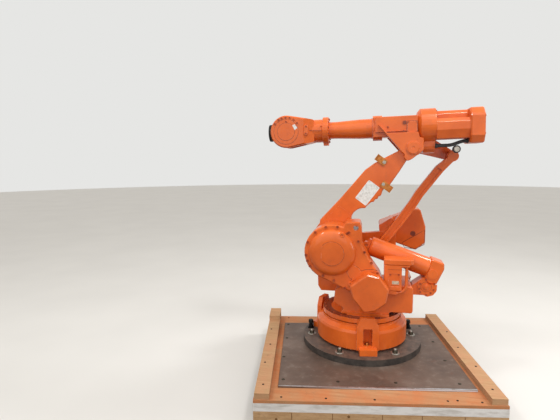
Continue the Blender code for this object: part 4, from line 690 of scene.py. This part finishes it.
# Wrist
COVER_BOLT_RING = 0.102
cover_angles = (35, 57, 71, 88, 105, 123, 143)
screws("wrist_cover_bolts", "forearm", on_ring(WRIST, COVER_BOLT_RING, cover_angles, DISC_FACE), WAY_LEFT, 6.5, 6)
slab("wrist_cover_ring", "forearm", arc(WRIST.x, WRIST.z, 0.088, 0, 360, 63)[:-1], DISC_FACE - 0.001,
     DISC_FACE + DISC_RING_RISE, bevel_mm=0.8)
slab("wrist_cover_disc", "forearm", arc(WRIST.x, WRIST.z, 0.062, 0, 360, 47)[:-1], DISC_FACE, DISC_FACE + 0.003,
     bevel_mm=0.8)
screws("wrist_cover_plug", "forearm", [(WRIST.x, DISC_FACE + DISC_RING_RISE, WRIST.z + 0.072)], WAY_LEFT, 7, 5)
circle_line("wrist_ring_line", "forearm", WRIST, 0.0895, DISC_FACE, 71)
circle_line("wrist_disc_line", "forearm", WRIST, 0.0635, DISC_FACE + DISC_RING_RISE, 55)
slab("wrist_sticker", "forearm", [(0.470, 1.775), (0.492, 1.802), (0.512, 1.787), (0.489, 1.759)], DISC_FACE,
     DISC_FACE + 0.0022, finish=pale_film, bevel_mm=0.3)
STOP_BOSS_FACE = DISC_FACE + 0.006
boss_outline = arc(0.407, 1.783, 0.013, 0, 180, 10) + arc(0.407, 1.733, 0.013, 180, 360, 10)
slab("wrist_stop_boss", "forearm", boss_outline, 0.100, STOP_BOSS_FACE, bevel_mm=2)
screws("wrist_stop_screws", "forearm", [(0.407, STOP_BOSS_FACE, 1.783), (0.407, STOP_BOSS_FACE, 1.733)], WAY_LEFT,
       6, 4)
seam_and_shadow_line("wrist_fork_line", "forearm", [(0.383, 1.755), (0.330, 1.7535), (0.299, 1.7535)], WRIST_FLAT, width_mm=3.2)
bolts("wrist_fork_dowel", "forearm", [(0.384, WRIST_FLAT, 1.755)], WAY_LEFT, 5, 3, ROUND_PLUG, soiled_shaded_screw_enamel)
bolts("wrist_fork_notch", "forearm", [(0.303, WRIST_FLAT, 1.784)], WAY_LEFT, 4, 3, ROUND_PLUG, soiled_shaded_screw_enamel)
screws("wrist_flange_bolts", "forearm", on_end(WRIST_FLANGE_BACK, arc(0, 0, 0.084, -15, 315, 11)), WAY_BACK, 7, 7)

# Base
plate_bolts = round_base(0.372, (68.3, 129.3, 188.3, 249.3, 308.3, 9.3), PLATE_TOP)
steel_screws("plate_washers", plate_bolts, 31, 5, WASHER, pale_zinc)
steel_screws("plate_nuts", [(x, y, z + 0.004) for x, y, z in plate_bolts], 18, 20, PLAIN_HEX, dark_zinc)
steel_screws("plate_studs", [(x, y, z + 0.022) for x, y, z in plate_bolts], 10, 11, STUD, pale_zinc)
steel_screws("jacking_bolts", [(0.391, -0.056, PLATE_TOP), (-0.357, -0.188, PLATE_TOP)], 18, 64, JACKING_BOLT,
             black_bolt)
steel_screws("foot_bolts", round_base(0.305, (98.8, 218.8, 338.8), FOOT_TOP), 13, 16, HEX_HEAD, yellow_zinc)
screws("turntable_flange_bolts", "turntable",
       round_base(0.268, [a for a in range(0, 360, 15) if a != 135], FLANGE_TOP), WAY_UP, 7, 8)


def lay_flange_shade():
    """Painted shade: a darker ring on the turning flange, where the housing above shades it."""
    mesh = bmesh.new()
    add_rings(mesh, Matrix.Translation((0, 0, FLANGE_TOP - 0.001)), 0.285, 0.0018, FLANGE_SHADE_RING)
    piece("flange_painted_shade", mesh, grime_and_shade_enamel, "turntable")


lay_flange_shade()

# Skid, in its own turned frame
skid = Matrix.Translation((-0.019, 0.169, 0)) @ Matrix.Rotation(SKID_TURN, 4, "Z")
skid_from_behind = skid @ Matrix.Rotation(math.pi, 4, "Z")
knots = [(x, SKID_FRONT - 0.001, z) for x, z in ((0.171, 0.082), (0.588, 0.054), (0.020, 0.040),
                                                 (-0.350, 0.061), (-0.610, 0.035))]
for face, front, side in (("front", skid, 1), ("rear", skid_from_behind, -1)):
    for k, x in enumerate((0.496, 0.261, -0.023, -0.246, -0.484)):
        seam_and_shadow_line(f"bearer_{face}_joint_{k}", "stand_and_base", [(x * side, 0.003), (x * side + 0.003, 0.097)],
             SKID_FRONT, width_mm=4, carrier=front, finish=timber_shade)
    steel_screws(f"bearer_{face}_knots", place_all(front, knots), 9, 2, KNOT, timber_shade,
                 front.to_3x3() @ Vector(WAY_LEFT))
steel_screws("sheet_screws", place_all(skid, [(x, y, SHEET_TOP - 0.0005) for x, y in (
    (0.557, -0.177), (0.567, 0.139), (0.557, 0.448), (0.217, 0.462), (-0.136, 0.462), (-0.522, 0.458),
    (-0.542, -0.149), (-0.532, 0.152), (-0.522, -0.452), (-0.136, -0.452), (0.217, -0.452), (0.557, -0.452))]),
    11, 2, SHEET_SCREW, dark_zinc)
steel_screws("deck_screws", place_all(skid, [(x, y, DECK_TOP - 0.0005) for x, y in (
    (-0.395, 0.629), (-0.452, 0.622), (-0.585, 0.635), (0.300, 0.632), (0.560, 0.628), (0.020, 0.634),
    (-0.395, -0.629), (0.020, -0.634), (0.560, -0.628))]), 7, 1.6, WOOD_SCREW, black_bolt)
for name, side in (("batten_left_screws", 1), ("batten_right_screws", -1)):
    steel_screws(name, place_all(skid, [(side * (0.672 + 0.014 * (k % 2)), -0.560 + 0.280 * k, BATTEN_TOP)
                                        for k in range(1, 5)]), 7, 1.6, WOOD_SCREW, black_bolt)
lying_flat = skid @ Matrix.Rotation(math.radians(90), 4, "X")
# A thin near-white strip on top of the sheet along its front edge, narrowing towards +X.
slab("sheet_near_white_strip", "stand_and_base", [(-0.602, -0.5278), (0.582, -0.5278), (0.580, -0.5225),
                                              (-0.602, -0.5165)], SHEET_TOP - 0.0005, SHEET_TOP + 0.0008,
     lying_flat, near_white_steel, 0.3)

# Counterweight: its raised plate is a line only, as there is no room for it above the foot's ridge
weight_plate = [(-0.414, 0.940), (-0.482, 0.985), (-0.479, 0.865), (-0.412, 0.828), (-0.33, 0.835),
                (-0.31, 0.876), (-0.371, 0.915)]
seam_and_shadow_line("weight_plate_line", "crank", weight_plate, WEIGHT_FACE - 0.0003, closed=True, width_mm=5)
# The hole is a shallow ring in the darker enamel: painted shade inside the hole.
bolts("weight_hole", "crank", [(-0.390, WEIGHT_FACE, 0.953)], WAY_LEFT, 20, 3.2, OPEN_HOLE, grime_and_shade_enamel)

# Far side and back, which plainly follow the side that shows
screws("right_gear_bolts", "turntable", on_ring(SHOULDER, 0.158, range(15, 375, 30), RIGHT_GEAR_FACE), WAY_RIGHT,
       9, 8)
circle_line("right_gear_line", "turntable", SHOULDER, 0.142, RIGHT_GEAR_FACE)
screws("motor_3_cap_bolts", "turntable", on_ring(SHOULDER, 0.070, range(30, 390, 60), MOTOR_3_FACE), WAY_RIGHT, 6, 5)
slab("motor_3_plate", "turntable", box_outline(0.178, 0.222, 0.895, 0.918, 0.002), MOTOR_3_FACE,
     MOTOR_3_FACE - 0.0012, finish=pale_plate, bevel_mm=0.3)
bolts("weight_bolts", "crank", [(x, WEIGHT_BACK, z) for x, z in ((-0.300, 0.940), (-0.425, 0.940),
                                                                 (-0.425, 1.055), (-0.250, 1.035))],
      WAY_RIGHT, 15, 9, HEX_HEAD)
bolts("rear_ear_nut", "upper_arm", [(-0.626, EAR_FACE, 1.567)], WAY_RIGHT, 14, 9, HEX_HEAD)
screws("wrist_right_bolts", "forearm",
       on_ring(WRIST, COVER_BOLT_RING, (*cover_angles, 217, 250, 290, 323), -DISC_FACE), WAY_RIGHT, 6.5, 6)
circle_line("wrist_right_ring_line", "forearm", WRIST, 0.0895, -DISC_FACE)
circle_line("wrist_right_disc_line", "forearm", WRIST, 0.0635, -DISC_FACE)
cap_spots = [(0.108, 0.044), (-0.108, 0.044), (0.108, -0.070), (-0.108, -0.070), (0.062, 0.086), (-0.062, 0.086)]
screws("rear_cap_bolts", "upper_arm", on_end(REAR_CAP_BACK, cap_spots), WAY_BACK, 7, 5)
screws("drum_bolts", "upper_arm", on_end(DRUM_BACK, arc(0, 0, 0.110, 0, 330, 11)), WAY_BACK, 7, 7)
facing_back = Matrix.Rotation(math.radians(90), 4, "Z")
slab("rear_hatch", "turntable", box_outline(-0.220, -0.060, 0.550, 0.680, 0.010), HATCH_FACE,
     HATCH_FACE + HATCH_RISE, facing_back)
screws("rear_hatch_screws", "turntable", [(-HATCH_FACE - HATCH_RISE, y, z) for y in (-0.208, -0.072)
                                          for z in (0.562, 0.668)], BEHIND, 5, 4)

# Label and strap bolts of the lower arm
slab("arm_label", "lower_arm", box_outline(0.007, 0.102, 0.380, 0.541, 0.004), ARM_FACE, ARM_FACE + 0.0007,
     lower_arm, pale_film, 0.3)
bolts("strap_bolts", "lower_arm", place_all(lower_arm, [(0.093, STRAP_FACE, 0.700), (0.004, STRAP_FACE, 0.575)]),
      WAY_LEFT, 9, 7, HEX_HEAD, pale_zinc)

# Covers and caps that both sides of the arm house and elbow have
for end, way, side in (("", WAY_LEFT, 1), ("_right", WAY_RIGHT, -1)):
    slab(f"house_cover{end}", "upper_arm", box_outline(-0.354, -0.290, 1.722, 1.803, 0.004),
         side * HOUSE_COVER_LOW, side * HOUSE_COVER_FACE, bevel_mm=2)
    screws(f"house_cover{end}_screws", "upper_arm", [(x, side * HOUSE_COVER_FACE, z) for x in (-0.347, -0.297)
                                                     for z in (1.729, 1.796)], way, 4, 3)
    bolts(f"elbow_cap{end}", "elbow_shaft", [(ELBOW.x, side * ELBOW_CAP_FACE, ELBOW.z)], way, 40, 5, ELBOW_CAP)
seam_and_shadow_line("house_cover_line", "upper_arm", box_outline(-0.3555, -0.2885, 1.7205, 1.8045, 0.004), HOUSE_FACE, closed=True,
     width_mm=4)
screws("house_screws", "upper_arm", [(-0.266, HOUSE_FACE, 1.736), (-0.280, HOUSE_FACE, 1.714),
                                     (-0.161, HOUSE_FACE, 1.765)], WAY_LEFT, 7, 6)
slab("house_clip", "upper_arm", box_outline(-0.283, -0.260, 1.784, 1.806, 0.003), HOUSE_FACE - 0.001,
     HOUSE_FACE + 0.008, finish=grime_and_shade_enamel, bevel_mm=2)


# Floor, light and finish

FLOOR_RADIUS = 24
FLOOR_DROP = 0.0005


def backdrop_rays(tree):
    """One for the rays that see the pale backdrop: those of the camera, of reflections and of glass."""
    path = add(tree, "LightPath").node.outputs
    shown = add(tree, "Math", MAXIMUM, i0=path["Is Camera Ray"], i1=path["Is Glossy Ray"])
    return add(tree, "Math", MAXIMUM, i0=shown, i1=path["Is Transmission Ray"])


def lay_floor():
    """A pale floor that stays in the studio; to the light that falls on the part it is a darker one."""
    mesh = bmesh.new()
    bmesh.ops.create_circle(mesh, cap_ends=True, segments=96, radius=FLOOR_RADIUS)
    data = bpy.data.meshes.new("studio_floor")
    mesh.to_mesh(data)
    mesh.free()
    made, tree, shader = new_material("studio_floor", Roughness=0.9)
    shade = patches(tree, object_space(tree), 900, (0.3, "#DAD8D4"), (0.7, "#DEDCD8"), detail=2)
    connect(tree, shader, Base_Color=add(tree, "Mix", COLOURS, give=2, i0=backdrop_rays(tree), i6="#54504B",
                                         i7=shade))
    data.materials.append(made)
    floor = bpy.data.objects.new("studio_floor", data)
    floor.location.z = -FLOOR_DROP
    bpy.context.collection.objects.link(floor)


def hang_lamp(name, data, way):
    """A lamp that shines the given way, linked to the scene."""
    lamp = bpy.data.objects.new(name, data)
    lamp.rotation_mode = "QUATERNION"
    lamp.rotation_quaternion = Vector(way).to_track_quat("-Z", "Y")
    bpy.context.collection.objects.link(lamp)
    return lamp


def hang_light(name, place, aim, size, watts):
    """A round lamp at a place, aimed at a point of the part."""
    data = bpy.data.lights.new(name, "AREA")
    data.shape = "DISK"
    data.size = size
    data.energy = watts
    hang_lamp(name, data, Vector(aim) - Vector(place)).location = place


def hang_sun(name, source, angle_deg, strength):
    """Soft light that comes from one side of the sky, spread over a wide angle."""
    data = bpy.data.lights.new(name, "SUN")
    data.angle = math.radians(angle_deg)
    data.energy = strength
    hang_lamp(name, data, -Vector(source))


def light_studio():
    """A plain pale backdrop, soft light that is stronger from above, a wide sun and four round lamps."""
    world = bpy.data.worlds.new("studio")
    world.use_nodes = True
    tree = world.node_tree
    backdrop = tree.nodes["Background"]
    backdrop.inputs["Color"].default_value = linear("#E6E6E4")
    backdrop.inputs["Strength"].default_value = 1.0
    rise = add(tree, "SeparateXYZ", give="Z", Vector=add(tree, "TexCoord", give="Generated"))
    sky = add(tree, "MapRange", Value=rise, From_Min=0.0, From_Max=0.8, To_Min=0.24, To_Max=0.62)
    ambient = add(tree, "Background", Color="#FFFAF2", Strength=sky)
    chosen = add(tree, "MixShader", i0=backdrop_rays(tree), i1=ambient, i2=backdrop.outputs["Background"])
    tree.links.new(chosen, tree.nodes["World Output"].inputs["Surface"])
    bpy.context.scene.world = world
    hang_sun("skylight", (0.45, 2.9, 1.9), 75, 1.36)
    hang_light("bay_lamp_left", (3.05, 1.6, 4.9), (0.1, 0, 1.0), 0.80, 60)
    hang_light("bay_lamp_right", (-1.2, 1.7, 4.9), (0, 0, 1.0), 0.80, 60)
    hang_light("doorway_fill", (-2.4, 1.4, 1.5), (-0.35, -0.345, 1.0), 0.90, 14)
    hang_light("bay_lamp_rear", (-2.6, -1.2, 4.0), (-0.3, -0.3, 1.0), 0.80, 60)


lay_floor()
light_studio()
bpy.context.scene.view_settings.view_transform = "Standard"
